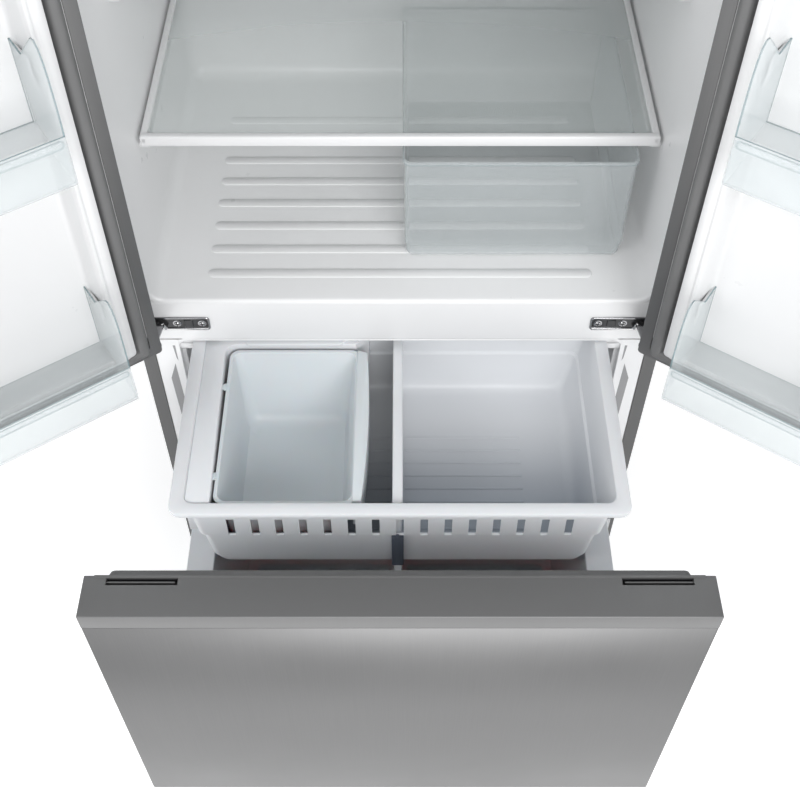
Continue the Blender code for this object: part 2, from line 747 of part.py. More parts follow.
def drawer_bracket(side, name):
    """A steel bracket from the drawer front to the slide. Its top flange carries the lower basket's rim."""
    y = (0.0075, LOWER_Y[1])
    z = (RAIL_Z[0], BRACKET_TOP)
    web = box(f"{name}_drawer_bracket", both_ways((0.3235, 0.3270), side), y, z, DRAWER, STEEL)
    flange_z = (BRACKET_TOP - 0.003, BRACKET_TOP)
    flange = box(f"{name}_bracket_flange", both_ways((0.3000, 0.3260), side), y, flange_z, DRAWER)
    foot = box(f"{name}_bracket_foot", both_ways((0.262, 0.3260), side), (0.0075, 0.0110), z, DRAWER)
    member = box(f"{name}_rail_inner", both_ways((0.3260, 0.3350), side), (0.020, 0.345), RAIL_Z, DRAWER)
    return join(web, flange, foot, member)


def rail_member(name, x, y, z, side, parent):
    return box(name, both_ways(x, side), y, z, parent, STEEL)


def upper_basket():
    """A tapered basket with a flanged rim, which runs on the ledges of the freezer liner."""
    parent = EMPTIES["upper_basket_track"]
    rim = box(
        "upper_basket", (-RIM_HALF, RIM_HALF), BASKET_Y, (BASKET_TOP - RIM_HEIGHT, BASKET_TOP), parent, WHITE
    )
    body = tapered("basket_body", 0.0, BASKET_BOTTOM, BASKET_TOP, parent)
    hollow = tapered("basket_hollow", PLASTIC, BASKET_BOTTOM + PLASTIC, BASKET_TOP + 0.02, parent)
    return cut(join(rim, body), hollow)


def tapered(name, inset, low, high, parent):
    """The basket's body, narrower at the bottom, drawn in all round by inset."""
    shape = bmesh.new()
    slope = (high - BASKET_BOTTOM) / (BASKET_TOP - BASKET_BOTTOM)
    start = (low - BASKET_BOTTOM) / (BASKET_TOP - BASKET_BOTTOM)
    bmesh.ops.create_cube(shape, size=1.0)
    for vert in shape.verts:
        level = slope if vert.co.z > 0 else start
        half = BASKET_FOOT_HALF + (RIM_HALF - RIM_WIDTH - BASKET_FOOT_HALF) * level - inset
        front = BASKET_FOOT_Y[0] + (BASKET_Y[0] + RIM_WIDTH - BASKET_FOOT_Y[0]) * level + inset
        back = BASKET_FOOT_Y[1] + (BASKET_Y[1] - RIM_WIDTH - BASKET_FOOT_Y[1]) * level - inset
        vert.co.x = math.copysign(half, vert.co.x)
        vert.co.y = back if vert.co.y > 0 else front
        vert.co.z = high if vert.co.z > 0 else low
    return add_object(name, shape, (0, 0, 0), parent)


def basket_divider():
    parent = EMPTIES["upper_basket_track"]
    return box("basket_divider", (-0.011, 0.004), (0.1290, 0.4760), (0.4895, 0.640), parent, WHITE)


def ice_tray():
    x, y, z = (-0.270, -0.062), (0.1295, 0.424), (0.4895, 0.640)
    return tub("ice_tray", x, y, z, PLASTIC, EMPTIES["ice_tray_lift"], FROSTED)


def make_empty(name, place, parent):
    empty = bpy.data.objects.new(name, None)
    empty.location = place
    empty.parent = parent
    if parent and parent is not CABINET:
        empty.matrix_parent_inverse = Matrix.Translation(parent.location).inverted()
    PARTS.objects.link(empty)
    EMPTIES[name] = empty
    return empty


def make_axes():
    """An empty on every joint, with the moving pieces hung on it."""
    for name, side in SIDES:
        make_empty(f"{name}_door_axis", (side * HINGE_X, HINGE_Y, DOOR_BOTTOM), CABINET)
        make_empty(f"{name}_leg_axis", (side * LEG_X, LEG_Y, 0), CABINET)
        make_empty(f"{name}_roller_axis", (side * ROLLER_X, ROLLER_Y, ROLLER_RADIUS), CABINET)
    make_empty("flipper_axis", (FLIP_X, FLIP_Y, 0.775), EMPTIES["left_door_axis"])
    make_empty("drawer_track", (0, 0, 0.5), CABINET)
    make_empty("rail_track", (0, 0, 0.5), CABINET)
    make_empty("upper_basket_track", (0, 0, 0.64), EMPTIES["drawer_track"])
    make_empty("ice_tray_lift", (-0.166, 0.277, 0.4895), EMPTIES["upper_basket_track"])
    make_empty("crisper_track", (0.18, 0.2, CRISPER_Z[0]), CABINET)
    make_empty("evaporator_fan_axis", (0, 0.545, 0.585), CABINET)
    make_empty("condenser_fan_axis", (0.03, 0.535, 0.150), CABINET)


def build_cabinet():
    cabinet_shell()
    fresh_food_liner()
    freezer_liner()
    foam_insulation()
    back_panel()
    base_pan()
    base_grille()
    mullion_rail()
    machine_cover()
    cord_gland()
    compressor()
    finned_block("condenser", (0.15, 0.34), (0.46, 0.60), (0.080, 0.230), 7, CABINET)
    finned_block("evaporator", (-0.26, 0.26), (0.5260, 0.5735), (0.340, 0.520), 12, CABINET)
    drain_pan()
    evaporator_cover()
    air_duct_panel()
    control_panel()
    glass_shelf("crisper_cover_shelf", 0.950)
    glass_shelf("glass_shelf_middle", 1.190)
    glass_shelf("glass_shelf_upper", 1.420)
    crisper_drawer()
    fan("evaporator_fan", (0, 0.545, 0.585), (0, 1, 0), 0.040, 0.018, EMPTIES["evaporator_fan_axis"])
    fan("condenser_fan", (0.03, 0.535, 0.150), (1, 0, 0), 0.060, 0.030, EMPTIES["condenser_fan_axis"])


def build_sides():
    for name, side in SIDES:
        levelling_leg(side, name)
        rear_roller(side, name)
        top_hinge(side, name)
        hinge_cover(side, name)
        centre_hinge(side, name)
        door_skin(side, name)
        door_liner(side, name)
        door_gasket(side, name)
        for level, bottom in BIN_BOTTOMS.items():
            door_bin(side, name, level, bottom)
        drawer_bracket(side, name)
        rail_member(
            f"{name}_rail_outer", (0.3430, 0.3546), (0.012, 0.365), grown(RAIL_Z, 0.004), side, CABINET
        )
        rail_member(
            f"{name}_rail_middle", (0.3356, 0.3424), (0.016, 0.355), RAIL_Z, side, EMPTIES["rail_track"]
        )
    flipper_mullion()


def build_drawer():
    drawer_skin()
    drawer_top_trim()
    drawer_inner_panel()
    drawer_gasket()
    lower_basket()
    upper_basket()
    basket_divider()
    ice_tray()


def open_up():
    """The rest pose: both doors swung wide, the drawer pulled out, the flipper folded back."""
    EMPTIES["left_door_axis"].rotation_euler.z = -DOOR_OPEN
    EMPTIES["right_door_axis"].rotation_euler.z = DOOR_OPEN
    EMPTIES["flipper_axis"].rotation_euler.z = FLIP_FOLD
    EMPTIES["drawer_track"].location.y -= DRAWER_OUT
    EMPTIES["rail_track"].location.y -= DRAWER_OUT / 2
    CABINET.location.y = CABINET_Y


clear_scene()
PARTS = make_collection("french_door_refrigerator")
CUTTERS = make_collection("cutters")
GREY = make_finish("dark_grey_steel", (0.13, 0.13, 0.135), 0.38, 0.6)
WHITE = make_finish("white_liner", (0.84, 0.85, 0.86), 0.35)
CLEAR = make_finish("clear_plastic", (0.80, 0.90, 0.92), 0.08, transmission=0.9)
FROSTED = make_finish("frosted_plastic", (0.86, 0.89, 0.92), 0.40, transmission=0.3)
STEEL = make_finish("galvanised_steel", (0.55, 0.56, 0.57), 0.40, 0.9)
CHROME = make_finish("chrome", (0.75, 0.75, 0.76), 0.12, 1.0)
ALUMINIUM = make_finish("aluminium", (0.78, 0.79, 0.80), 0.35, 1.0)
BLACK = make_finish("black_plastic", (0.02, 0.02, 0.022), 0.45)
RUBBER = make_finish("grey_gasket", (0.09, 0.09, 0.095), 0.60)
FOAM = make_finish("foam", (0.80, 0.70, 0.45), 0.90)
SIDES = (("left", -1), ("right", 1))
EMPTIES = {}
CABINET = None
CABINET = make_empty("cabinet_origin", (0, 0, 0), None)
make_axes()
DRAWER = EMPTIES["drawer_track"]
build_cabinet()
build_sides()
build_drawer()
open_up()
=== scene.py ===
"""French door refrigerator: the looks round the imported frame.

Metres, +Z up. Each new piece is modelled where it stands with the doors and the drawer shut, from the
sizes of the frame's nodes there, and is then carried to where its body rests.
"""

import json
import math

import bmesh
import bpy
from bpy.props import FloatProperty, FloatVectorProperty, IntProperty, PointerProperty
from mathutils import Matrix, Vector

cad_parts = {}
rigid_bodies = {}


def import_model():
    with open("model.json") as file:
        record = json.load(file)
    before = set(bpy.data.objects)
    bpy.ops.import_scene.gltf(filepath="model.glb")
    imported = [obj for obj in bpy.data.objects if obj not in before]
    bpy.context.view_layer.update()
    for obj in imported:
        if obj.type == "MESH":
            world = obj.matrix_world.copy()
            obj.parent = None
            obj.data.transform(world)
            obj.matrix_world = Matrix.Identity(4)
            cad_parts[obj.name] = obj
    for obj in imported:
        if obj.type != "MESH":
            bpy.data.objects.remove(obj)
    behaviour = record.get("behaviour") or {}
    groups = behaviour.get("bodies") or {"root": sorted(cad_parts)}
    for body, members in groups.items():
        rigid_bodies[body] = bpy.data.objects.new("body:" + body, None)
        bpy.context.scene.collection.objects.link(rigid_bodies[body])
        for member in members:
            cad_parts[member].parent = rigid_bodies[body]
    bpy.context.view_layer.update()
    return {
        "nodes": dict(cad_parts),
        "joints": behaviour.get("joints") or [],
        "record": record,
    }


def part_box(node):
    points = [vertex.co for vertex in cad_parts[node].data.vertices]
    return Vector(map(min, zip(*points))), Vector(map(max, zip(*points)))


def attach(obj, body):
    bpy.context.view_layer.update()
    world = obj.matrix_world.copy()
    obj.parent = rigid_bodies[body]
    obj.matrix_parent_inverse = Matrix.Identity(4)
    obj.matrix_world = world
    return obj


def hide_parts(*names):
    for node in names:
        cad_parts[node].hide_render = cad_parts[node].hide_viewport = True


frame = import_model()

bl_info = {
    "name": "French door refrigerator",
    "version": (1, 0, 0),
    "blender": (4, 5, 0),
    "location": "View3D > Sidebar > Refrigerator",
    "description": "Builds the finished surfaces of a french door refrigerator round its frame",
    "category": "Object",
}

BODY_OF = {node: body for body, nodes in frame["record"]["behaviour"]["bodies"].items() for node in nodes}
JOINT_OF = {joint["child"]: joint for joint in frame["joints"]}
SIDES = (("left", -1), ("right", 1))
BIN_LEVELS = ("lower", "middle", "upper")
SHELVES = ("crisper_cover_shelf", "glass_shelf_middle", "glass_shelf_upper")
KNUCKLES = (0.86, 1.56)
ACROSS, INWARDS, UP = (1, 0, 0), (0, 1, 0), (0, 0, 1)


def opened(body):
    """The matrix that carries a piece from where it stands with everything shut to where its body rests."""
    if body not in JOINT_OF:
        return Matrix.Identity(4)
    joint = JOINT_OF[body]
    before = opened(joint["parent"])
    shut_axis = before.to_3x3().inverted() @ Vector(joint["axis"])
    if joint["type"] == "slide":
        return before @ Matrix.Translation(-shut_axis * joint["range_m"][0])
    if joint.get("continuous"):
        return before
    pivot = before.inverted() @ Vector(joint["pos_m"])
    turn = Matrix.Rotation(-math.radians(joint["range_deg"][0]), 4, shut_axis)
    return before @ Matrix.Translation(pivot) @ turn @ Matrix.Translation(-pivot)


def shut_box(node):
    """(lowest corner, highest corner) of a node with the doors and the drawer shut."""
    back = opened(BODY_OF[node]).inverted()
    points = [back @ vert.co for vert in frame["nodes"][node].data.vertices]
    low = Vector([min(point[i] for point in points) for i in range(3)])
    high = Vector([max(point[i] for point in points) for i in range(3)])
    return low, high


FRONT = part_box("mullion_rail")[0][1]
EYE = (0.0, FRONT - 1.219, 2.014)
EYE_TILT = 90.0 - 51.1


# Sizes and colours that a user would change


def length(name, about, default):
    return FloatProperty(name=name, description=about, default=default, min=0.0002, unit="LENGTH")


def paint(name, about, default):
    return FloatVectorProperty(name=name, description=about, subtype="COLOR", default=default, min=0, max=1)


class RefrigeratorSizes(bpy.types.PropertyGroup):
    plastic: length("Plastic wall", "Thickness of the moulded walls", 0.0024)
    clear_wall: length("Clear wall", "Thickness of the clear bins", 0.0022)
    sheet: length("Sheet steel", "Thickness of the skins", 0.0014)
    fold: length("Fold radius", "Rounding of a folded steel edge", 0.003)
    arc: IntProperty(name="Corner steps", description="Faces round a quarter turn", default=6, min=2, max=16)
    slots: IntProperty(name="Basket slots", description="Slots in the front of the basket", default=15, min=3)


class RefrigeratorColours(bpy.types.PropertyGroup):
    steel: paint("Dark steel", "Painted skins", (0.15, 0.15, 0.15))
    white: paint("Liner", "White linings", (0.8, 0.802, 0.805))
    basket: paint("Baskets", "White baskets", (0.72, 0.735, 0.755))
    clear: paint("Clear plastic", "Bins and crisper", (0.74, 0.79, 0.8))
    rim: paint("Clear edge", "Cut edge of clear plastic", (0.17, 0.26, 0.28))
    seal: paint("Seal", "Soft door seal", (0.172, 0.172, 0.172))


def sizes():
    return bpy.context.scene.refrigerator_sizes


# Shapes


def painted(shape, slot):
    """The shape with all its faces on one material slot."""
    for face in shape.faces:
        face.material_index = slot
    return shape


def rounded(shape, edges, radius, segments=2, clamp=False):
    bmesh.ops.bevel(
        shape, geom=edges, offset=radius, offset_type="OFFSET", segments=segments, profile=0.5,
        affect="EDGES", material=-1, clamp_overlap=clamp
    )


def rounded_ring(ring, step, count):
    """The place of one corner point of a rounded rectangle (a0, a1, b0, b1, level, radius)."""
    a0, a1, b0, b1, level, radius = ring
    quarter, inside = divmod(step, count)
    angle = math.radians(90 * (quarter + inside / (count - 1)))
    centre_a = a1 - radius if quarter in (0, 3) else a0 + radius
    centre_b = b1 - radius if quarter in (0, 1) else b0 + radius
    return centre_a + radius * math.cos(angle), centre_b + radius * math.sin(angle), level


def loft(rings, axis="Z", first=False, last=False, slot=0, hollow=False):
    """A skin through rounded rectangles, swept along an axis, with its first or last end filled.

    The faces look outwards. A hollow shape's faces look inwards, as in a tub that is open at its first ring.
    """
    count = sizes().arc + 1
    shape = bmesh.new()
    verts = bmesh.ops.create_circle(shape, segments=4 * count, radius=1.0)["verts"]
    edges = shape.edges[:]
    for number, ring in enumerate(rings):
        if number:
            grown = bmesh.ops.extrude_edge_only(shape, edges=edges)["geom"]
            new = {vert for vert in grown if isinstance(vert, bmesh.types.BMVert)}
            verts = [next(e.other_vert(v) for e in v.link_edges if e.other_vert(v) in new) for v in verts]
            edges = [edge for edge in grown if isinstance(edge, bmesh.types.BMEdge)]
        elif first:
            bmesh.ops.contextual_create(shape, geom=edges)
        for step, vert in enumerate(verts):
            vert.co = place_on(rounded_ring(ring, step, count), axis)
    if last:
        bmesh.ops.contextual_create(shape, geom=edges)
    bmesh.ops.recalc_face_normals(shape, faces=shape.faces)
    if hollow == looks_out(shape, rings[0], axis):
        bmesh.ops.reverse_faces(shape, faces=shape.faces)
    return painted(shape, slot)


def place_on(place, axis):
    """The point for two coordinates across and one along the axis, Y or Z."""
    across, up, along = place
    return Vector((across, along, up)) if axis == "Y" else Vector((across, up, along))


def looks_out(shape, ring, axis):
    """Whether most of the upright faces look away from the middle of the first ring."""
    middle = place_on(((ring[0] + ring[1]) / 2, (ring[2] + ring[3]) / 2, 0), axis)
    along = place_on((0, 0, 1), axis)
    total = 0.0
    for face in shape.faces:
        if abs(face.normal.dot(along)) < 0.5:
            offset = face.calc_center_median() - middle
            total += face.calc_area() * face.normal.dot(offset - along * offset.dot(along))
    return total > 0


def drawn_in(low, high, rows):
    """Rounded rectangles inside a box, from rows of left, right, front and back inset, level and radius."""
    return [
        (low.x + left, high.x - right, low.y + front, high.y - back, level, radius)
        for left, right, front, back, level, radius in rows
    ]


def evenly(inset, level, radius):
    """A row for drawn_in that is drawn in alike on all four sides."""
    return inset, inset, inset, inset, level, radius


def block(low, high, radius=0.0, segments=2, slot=0):
    """A solid block between two corners, with its edges rounded."""
    shape = bmesh.new()
    size = [high[i] - low[i] for i in range(3)]
    centre = [(high[i] + low[i]) / 2 for i in range(3)]
    bmesh.ops.create_cube(shape, size=1.0, matrix=Matrix.Translation(centre) @ Matrix.Diagonal((*size, 1.0)))
    if radius:
        rounded(shape, shape.edges[:], min(radius, min(size) * 0.49), segments, True)
    return painted(shape, slot)


def drum(centre, axis, radius, length, sides=24, edge=0.0, slot=0, tip=None):
    """A cylinder, or a cone with a tip radius, along an axis, with rounded rims."""
    shape = bmesh.new()
    turn = Vector(UP).rotation_difference(Vector(axis)).to_matrix().to_4x4()
    bmesh.ops.create_cone(
        shape, cap_ends=True, segments=sides, radius1=radius, radius2=radius if tip is None else tip,
        depth=length, matrix=Matrix.Translation(centre) @ turn
    )
    if edge:
        rounded(shape, [e for e in shape.edges if any(len(f.verts) > 4 for f in e.link_faces)], edge)
    return painted(shape, slot)


def outline(points, axis, span, radius=0.0, slot=0):
    """A flat outline swept along an axis. Its points are the two coordinates across the axis, in order."""
    shape = bmesh.new()
    order = {"X": (2, 0, 1), "Y": (0, 2, 1), "Z": (0, 1, 2)}[axis]

    def place(*values):
        return [values[i] for i in order]

    corners = [shape.verts.new(place(*point, span[0])) for point in points]
    loop = [shape.edges.new((corners[i - 1], corners[i])) for i in range(len(corners))]
    face = bmesh.ops.contextual_create(shape, geom=loop)["faces"]
    swept = bmesh.ops.extrude_face_region(shape, geom=face)["geom"]
    moved = [item for item in swept if isinstance(item, bmesh.types.BMVert)]
    step = Vector(place(0, 0, span[1] - span[0]))
    bmesh.ops.translate(shape, verts=moved, vec=step)
    bmesh.ops.recalc_face_normals(shape, faces=shape.faces)
    if radius:
        ends = [f for f in shape.faces if abs(f.normal.dot(step.normalized())) > 0.99]
        rounded(shape, list({edge for end in ends for edge in end.edges}), radius)
    return painted(shape, slot)


def arc_points(centre, radius, start, end, steps):
    """Points on an arc between two angles in degrees."""
    angles = [math.radians(start + (end - start) * i / steps) for i in range(steps + 1)]
    return [(centre[0] + radius * math.cos(a), centre[1] + radius * math.sin(a)) for a in angles]


def mirrored(shape):
    """The same shape on the left, with its faces turned the right way again."""
    bmesh.ops.scale(shape, vec=(-1, 1, 1), verts=shape.verts)
    bmesh.ops.reverse_faces(shape, faces=shape.faces)
    return shape


def on_side(side, *shapes):
    """Shapes made on the right, turned over to the left where the side is -1."""
    return [mirrored(shape) if side < 0 else shape for shape in shapes]


def both(*shapes):
    """Shapes made on the right, with their mirror images on the left."""
    return [*on_side(-1, *(shape.copy() for shape in shapes)), *shapes]


def soften(obj, width, angle):
    """Rounds the edges that are sharper than an angle in degrees."""
    bevel = obj.modifiers.new("edge", "BEVEL")
    bevel.width = width
    bevel.segments = 2
    bevel.limit_method = "ANGLE"
    bevel.angle_limit = math.radians(angle)
    bevel.harden_normals = True


def piece(name, shapes, node, slot, *finishes, wall=0.0, edge=0.0, sharp=40):
    """Joins shapes into one object, in place of a node of the frame and on its body."""
    body = BODY_OF[node]
    mesh = bpy.data.meshes.new(name)
    whole = bmesh.new()
    for shape in shapes:
        part = bpy.data.meshes.new("part")
        shape.to_mesh(part)
        shape.free()
        whole.from_mesh(part)
        bpy.data.meshes.remove(part)
    whole.transform(opened(body))
    whole.to_mesh(mesh)
    whole.free()
    for finish_name in finishes:
        mesh.materials.append(FINISHES[finish_name])
    obj = bpy.data.objects.new(name, mesh)
    bpy.context.scene.collection.objects.link(obj)
    mesh.shade_smooth()
    mesh.set_sharp_from_angle(angle=math.radians(sharp))
    if wall:
        solid = obj.modifiers.new("wall", "SOLIDIFY")
        solid.thickness = wall
        solid.offset = -1.0
        solid.use_even_offset = True
        solid.material_offset_rim = len(finishes) - 1
    if edge:
        soften(obj, edge, 38)
    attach(obj, body)
    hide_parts(node)
    return obj


def carried(node, finish_name, edge=0.0):
    """Keeps a node of the frame, with its flat faces merged, its edges rounded and a finish of its own."""
    obj = frame["nodes"][node]
    obj.data.materials.clear()
    obj.data.materials.append(FINISHES[finish_name])
    weld = obj.modifiers.new("weld", "WELD")
    weld.merge_threshold = 0.00002
    flat = obj.modifiers.new("flat", "DECIMATE")
    flat.decimate_type = "DISSOLVE"
    flat.angle_limit = math.radians(1)
    if edge:
        soften(obj, edge, 35)


# Finishes

GROUPS = {}
FINISHES = {}


def noise(tree, vector, scale, detail=3.0, rough=0.55):
    node = tree.nodes.new("ShaderNodeTexNoise")
    node.inputs["Scale"].default_value = scale
    node.inputs["Detail"].default_value = detail
    node.inputs["Roughness"].default_value = rough
    tree.links.new(vector, node.inputs["Vector"])
    return node


def math_node(tree, operation, first, second, clamp=False):
    node = tree.nodes.new("ShaderNodeMath")
    node.operation = operation
    node.use_clamp = clamp
    for number, value in enumerate((first, second)):
        if isinstance(value, (int, float)):
            node.inputs[number].default_value = value
        else:
            tree.links.new(value, node.inputs[number])
    return node.outputs[0]


def mix_colour(tree, factor, first, second):
    node = tree.nodes.new("ShaderNodeMix")
    node.data_type = "RGBA"
    for socket, value in ((node.inputs[0], factor), (node.inputs[6], first), (node.inputs[7], second)):
        if isinstance(value, tuple):
            socket.default_value = (*value, 1.0)
        else:
            tree.links.new(value, socket)
    return node.outputs[2]


class Surface:
    """A node group from two colours, a gloss and more values to a colour, a roughness and a normal."""

    def __init__(self, name, second, values):
        self.tree = bpy.data.node_groups.new(name, "ShaderNodeTree")
        sockets = [("INPUT", label, "Color") for label in ("Colour", second)]
        sockets += [("INPUT", label, "Float") for label in ("Gloss", *values)]
        results = (("Colour", "Color"), ("Roughness", "Float"), ("Normal", "Vector"))
        sockets += [("OUTPUT", label, kind) for label, kind in results]
        for way, label, kind in sockets:
            socket = self.tree.interface.new_socket(name=label, in_out=way, socket_type=f"NodeSocket{kind}")
            if label in values:
                socket.default_value = values[label]
        self.source = self.tree.nodes.new("NodeGroupInput").outputs
        self.sink = self.tree.nodes.new("NodeGroupOutput").inputs
        self.place = self.tree.nodes.new("ShaderNodeTexCoord").outputs["Object"]
        self.second = self.source[second]

    def colour(self, factor):
        mixed = mix_colour(self.tree, factor, self.source["Colour"], self.second)
        self.tree.links.new(mixed, self.sink["Colour"])

    def worn(self, cloud, amount, extra=None):
        """The gloss, made uneven by a slow noise and, where given, by one more value."""
        middle = math_node(self.tree, "SUBTRACT", cloud.outputs["Fac"], 0.5)
        spread = math_node(self.tree, "MULTIPLY", middle, amount)
        rough = math_node(self.tree, "ADD", self.source["Gloss"], spread, extra is None)
        if extra is not None:
            rough = math_node(self.tree, "ADD", rough, extra, True)
        self.tree.links.new(rough, self.sink["Roughness"])

    def bump(self, height, distance, strength=None):
        node = self.tree.nodes.new("ShaderNodeBump")
        node.inputs["Distance"].default_value = distance
        if strength is None:
            self.tree.links.new(self.source["Depth"], node.inputs["Strength"])
        else:
            node.inputs["Strength"].default_value = strength
        self.tree.links.new(height, node.inputs["Height"])
        self.tree.links.new(node.outputs["Normal"], self.sink["Normal"])


def moulding_group():
    """Slow unevenness, a fine orange peel and a faint dulling, as on any moulded surface."""
    surface = Surface("moulded surface", "Shade", {"Peel": 900.0, "Depth": 0.05})
    tree = surface.tree
    slow = noise(tree, surface.place, 3.2, 2.0)
    fine = noise(tree, surface.place, 900.0, 2.0)
    smear = noise(tree, surface.place, 14.0, 4.0, 0.6)
    tree.links.new(surface.source["Peel"], fine.inputs["Scale"])
    surface.colour(math_node(tree, "MULTIPLY", slow.outputs["Fac"], 0.35))
    surface.worn(smear, 0.14)
    surface.bump(fine.outputs["Fac"], 0.0004)
    return tree


def grain_group():
    """Fine streaks along one direction, as rolled or brushed sheet has."""
    surface = Surface("rolled sheet", "Light", {"Spread": 0.2})
    tree = surface.tree
    stretch = tree.nodes.new("ShaderNodeMapping")
    stretch.inputs["Scale"].default_value = (1500.0, 1500.0, 9.0)
    tree.links.new(surface.place, stretch.inputs["Vector"])
    streak = noise(tree, stretch.outputs["Vector"], 1.0).outputs["Fac"]
    cloud = noise(tree, surface.place, 5.0)
    surface.colour(math_node(tree, "MULTIPLY", streak, surface.source["Spread"]))
    surface.worn(cloud, 0.16, math_node(tree, "MULTIPLY", streak, 0.08))
    surface.bump(streak, 0.0002, 0.05)
    return tree


def texture_group():
    """A cellular grain, as on textured plastic, rubber or foam, with another colour in its hollows."""
    surface = Surface("grained surface", "Hollow", {"Cells": 1500.0, "Depth": 0.2})
    tree = surface.tree
    cells = tree.nodes.new("ShaderNodeTexVoronoi")
    tree.links.new(surface.source["Cells"], cells.inputs["Scale"])
    tree.links.new(surface.place, cells.inputs["Vector"])
    cloud = noise(tree, surface.place, 9.0, 4.0)
    surface.colour(math_node(tree, "MULTIPLY", cells.outputs["Distance"], cloud.outputs["Fac"], True))
    surface.worn(cloud, 0.2)
    surface.bump(cells.outputs["Distance"], 0.0005)
    return tree


def new_material(name):
    material = bpy.data.materials.new(name)
    material.use_nodes = True
    return material, material.node_tree, material.node_tree.nodes["Principled BSDF"]


def finish(key, name, kind, first, second, gloss, **values):
    """A material on one of the node groups. Each further value is for the group or else for the shader."""
    material, tree, shader = new_material(name)
    node = tree.nodes.new("ShaderNodeGroup")
    node.node_tree = GROUPS[kind]
    node.inputs[0].default_value = (*first, 1.0)
    node.inputs[1].default_value = (*second, 1.0)
    node.inputs["Gloss"].default_value = gloss
    for label in ("Roughness", "Normal"):
        tree.links.new(node.outputs[label], shader.inputs[label])
    tree.links.new(node.outputs["Colour"], shader.inputs["Base Color"])
    for label, value in values.items():
        owner = node if label in node.inputs else shader
        owner.inputs[label.replace("_", " ")].default_value = value
    FINISHES[key] = material
    return tree, shader, node


def see_through(key, name, colour, least, most, gloss):
    """Clear plastic: faint where it faces the eye, denser where the eye looks along the wall."""
    shade = darker(colour, 0.9)
    tree, shader, _ = finish(key, name, "moulding", colour, shade, gloss, Peel=260.0, Depth=0.02, IOR=1.49)
    grazing = tree.nodes.new("ShaderNodeLayerWeight")
    grazing.inputs["Blend"].default_value = 0.35
    span = math_node(tree, "MULTIPLY", grazing.outputs["Facing"], most - least)
    tree.links.new(math_node(tree, "ADD", span, least, True), shader.inputs["Alpha"])


def darker(colour, amount):
    return tuple(channel * amount for channel in colour)


def paint_inside_shade(finished, shade_colour, depth, reach):
    """Paints shade on the inside of a basket: bluer and darker towards its foot and its front."""
    tree, shader, group = finished
    place = tree.nodes.new("ShaderNodeTexCoord")
    parts = tree.nodes.new("ShaderNodeSeparateXYZ")
    tree.links.new(place.outputs["Object"], parts.inputs["Vector"])
    shade_shares = []
    for axis, (start, end) in (("Z", depth), ("Y", reach)):
        span = tree.nodes.new("ShaderNodeMapRange")
        span.interpolation_type = "SMOOTHSTEP"
        for label, value in (("From Min", start), ("From Max", end), ("To Min", 1.0), ("To Max", 0.0)):
            span.inputs[label].default_value = value
        tree.links.new(parts.outputs[axis], span.inputs["Value"])
        shade_shares.append(span.outputs["Result"])
    deep = math_node(tree, "MULTIPLY", *shade_shares, True)
    tree.links.new(mix_colour(tree, deep, group.outputs["Colour"], shade_colour), shader.inputs["Base Color"])


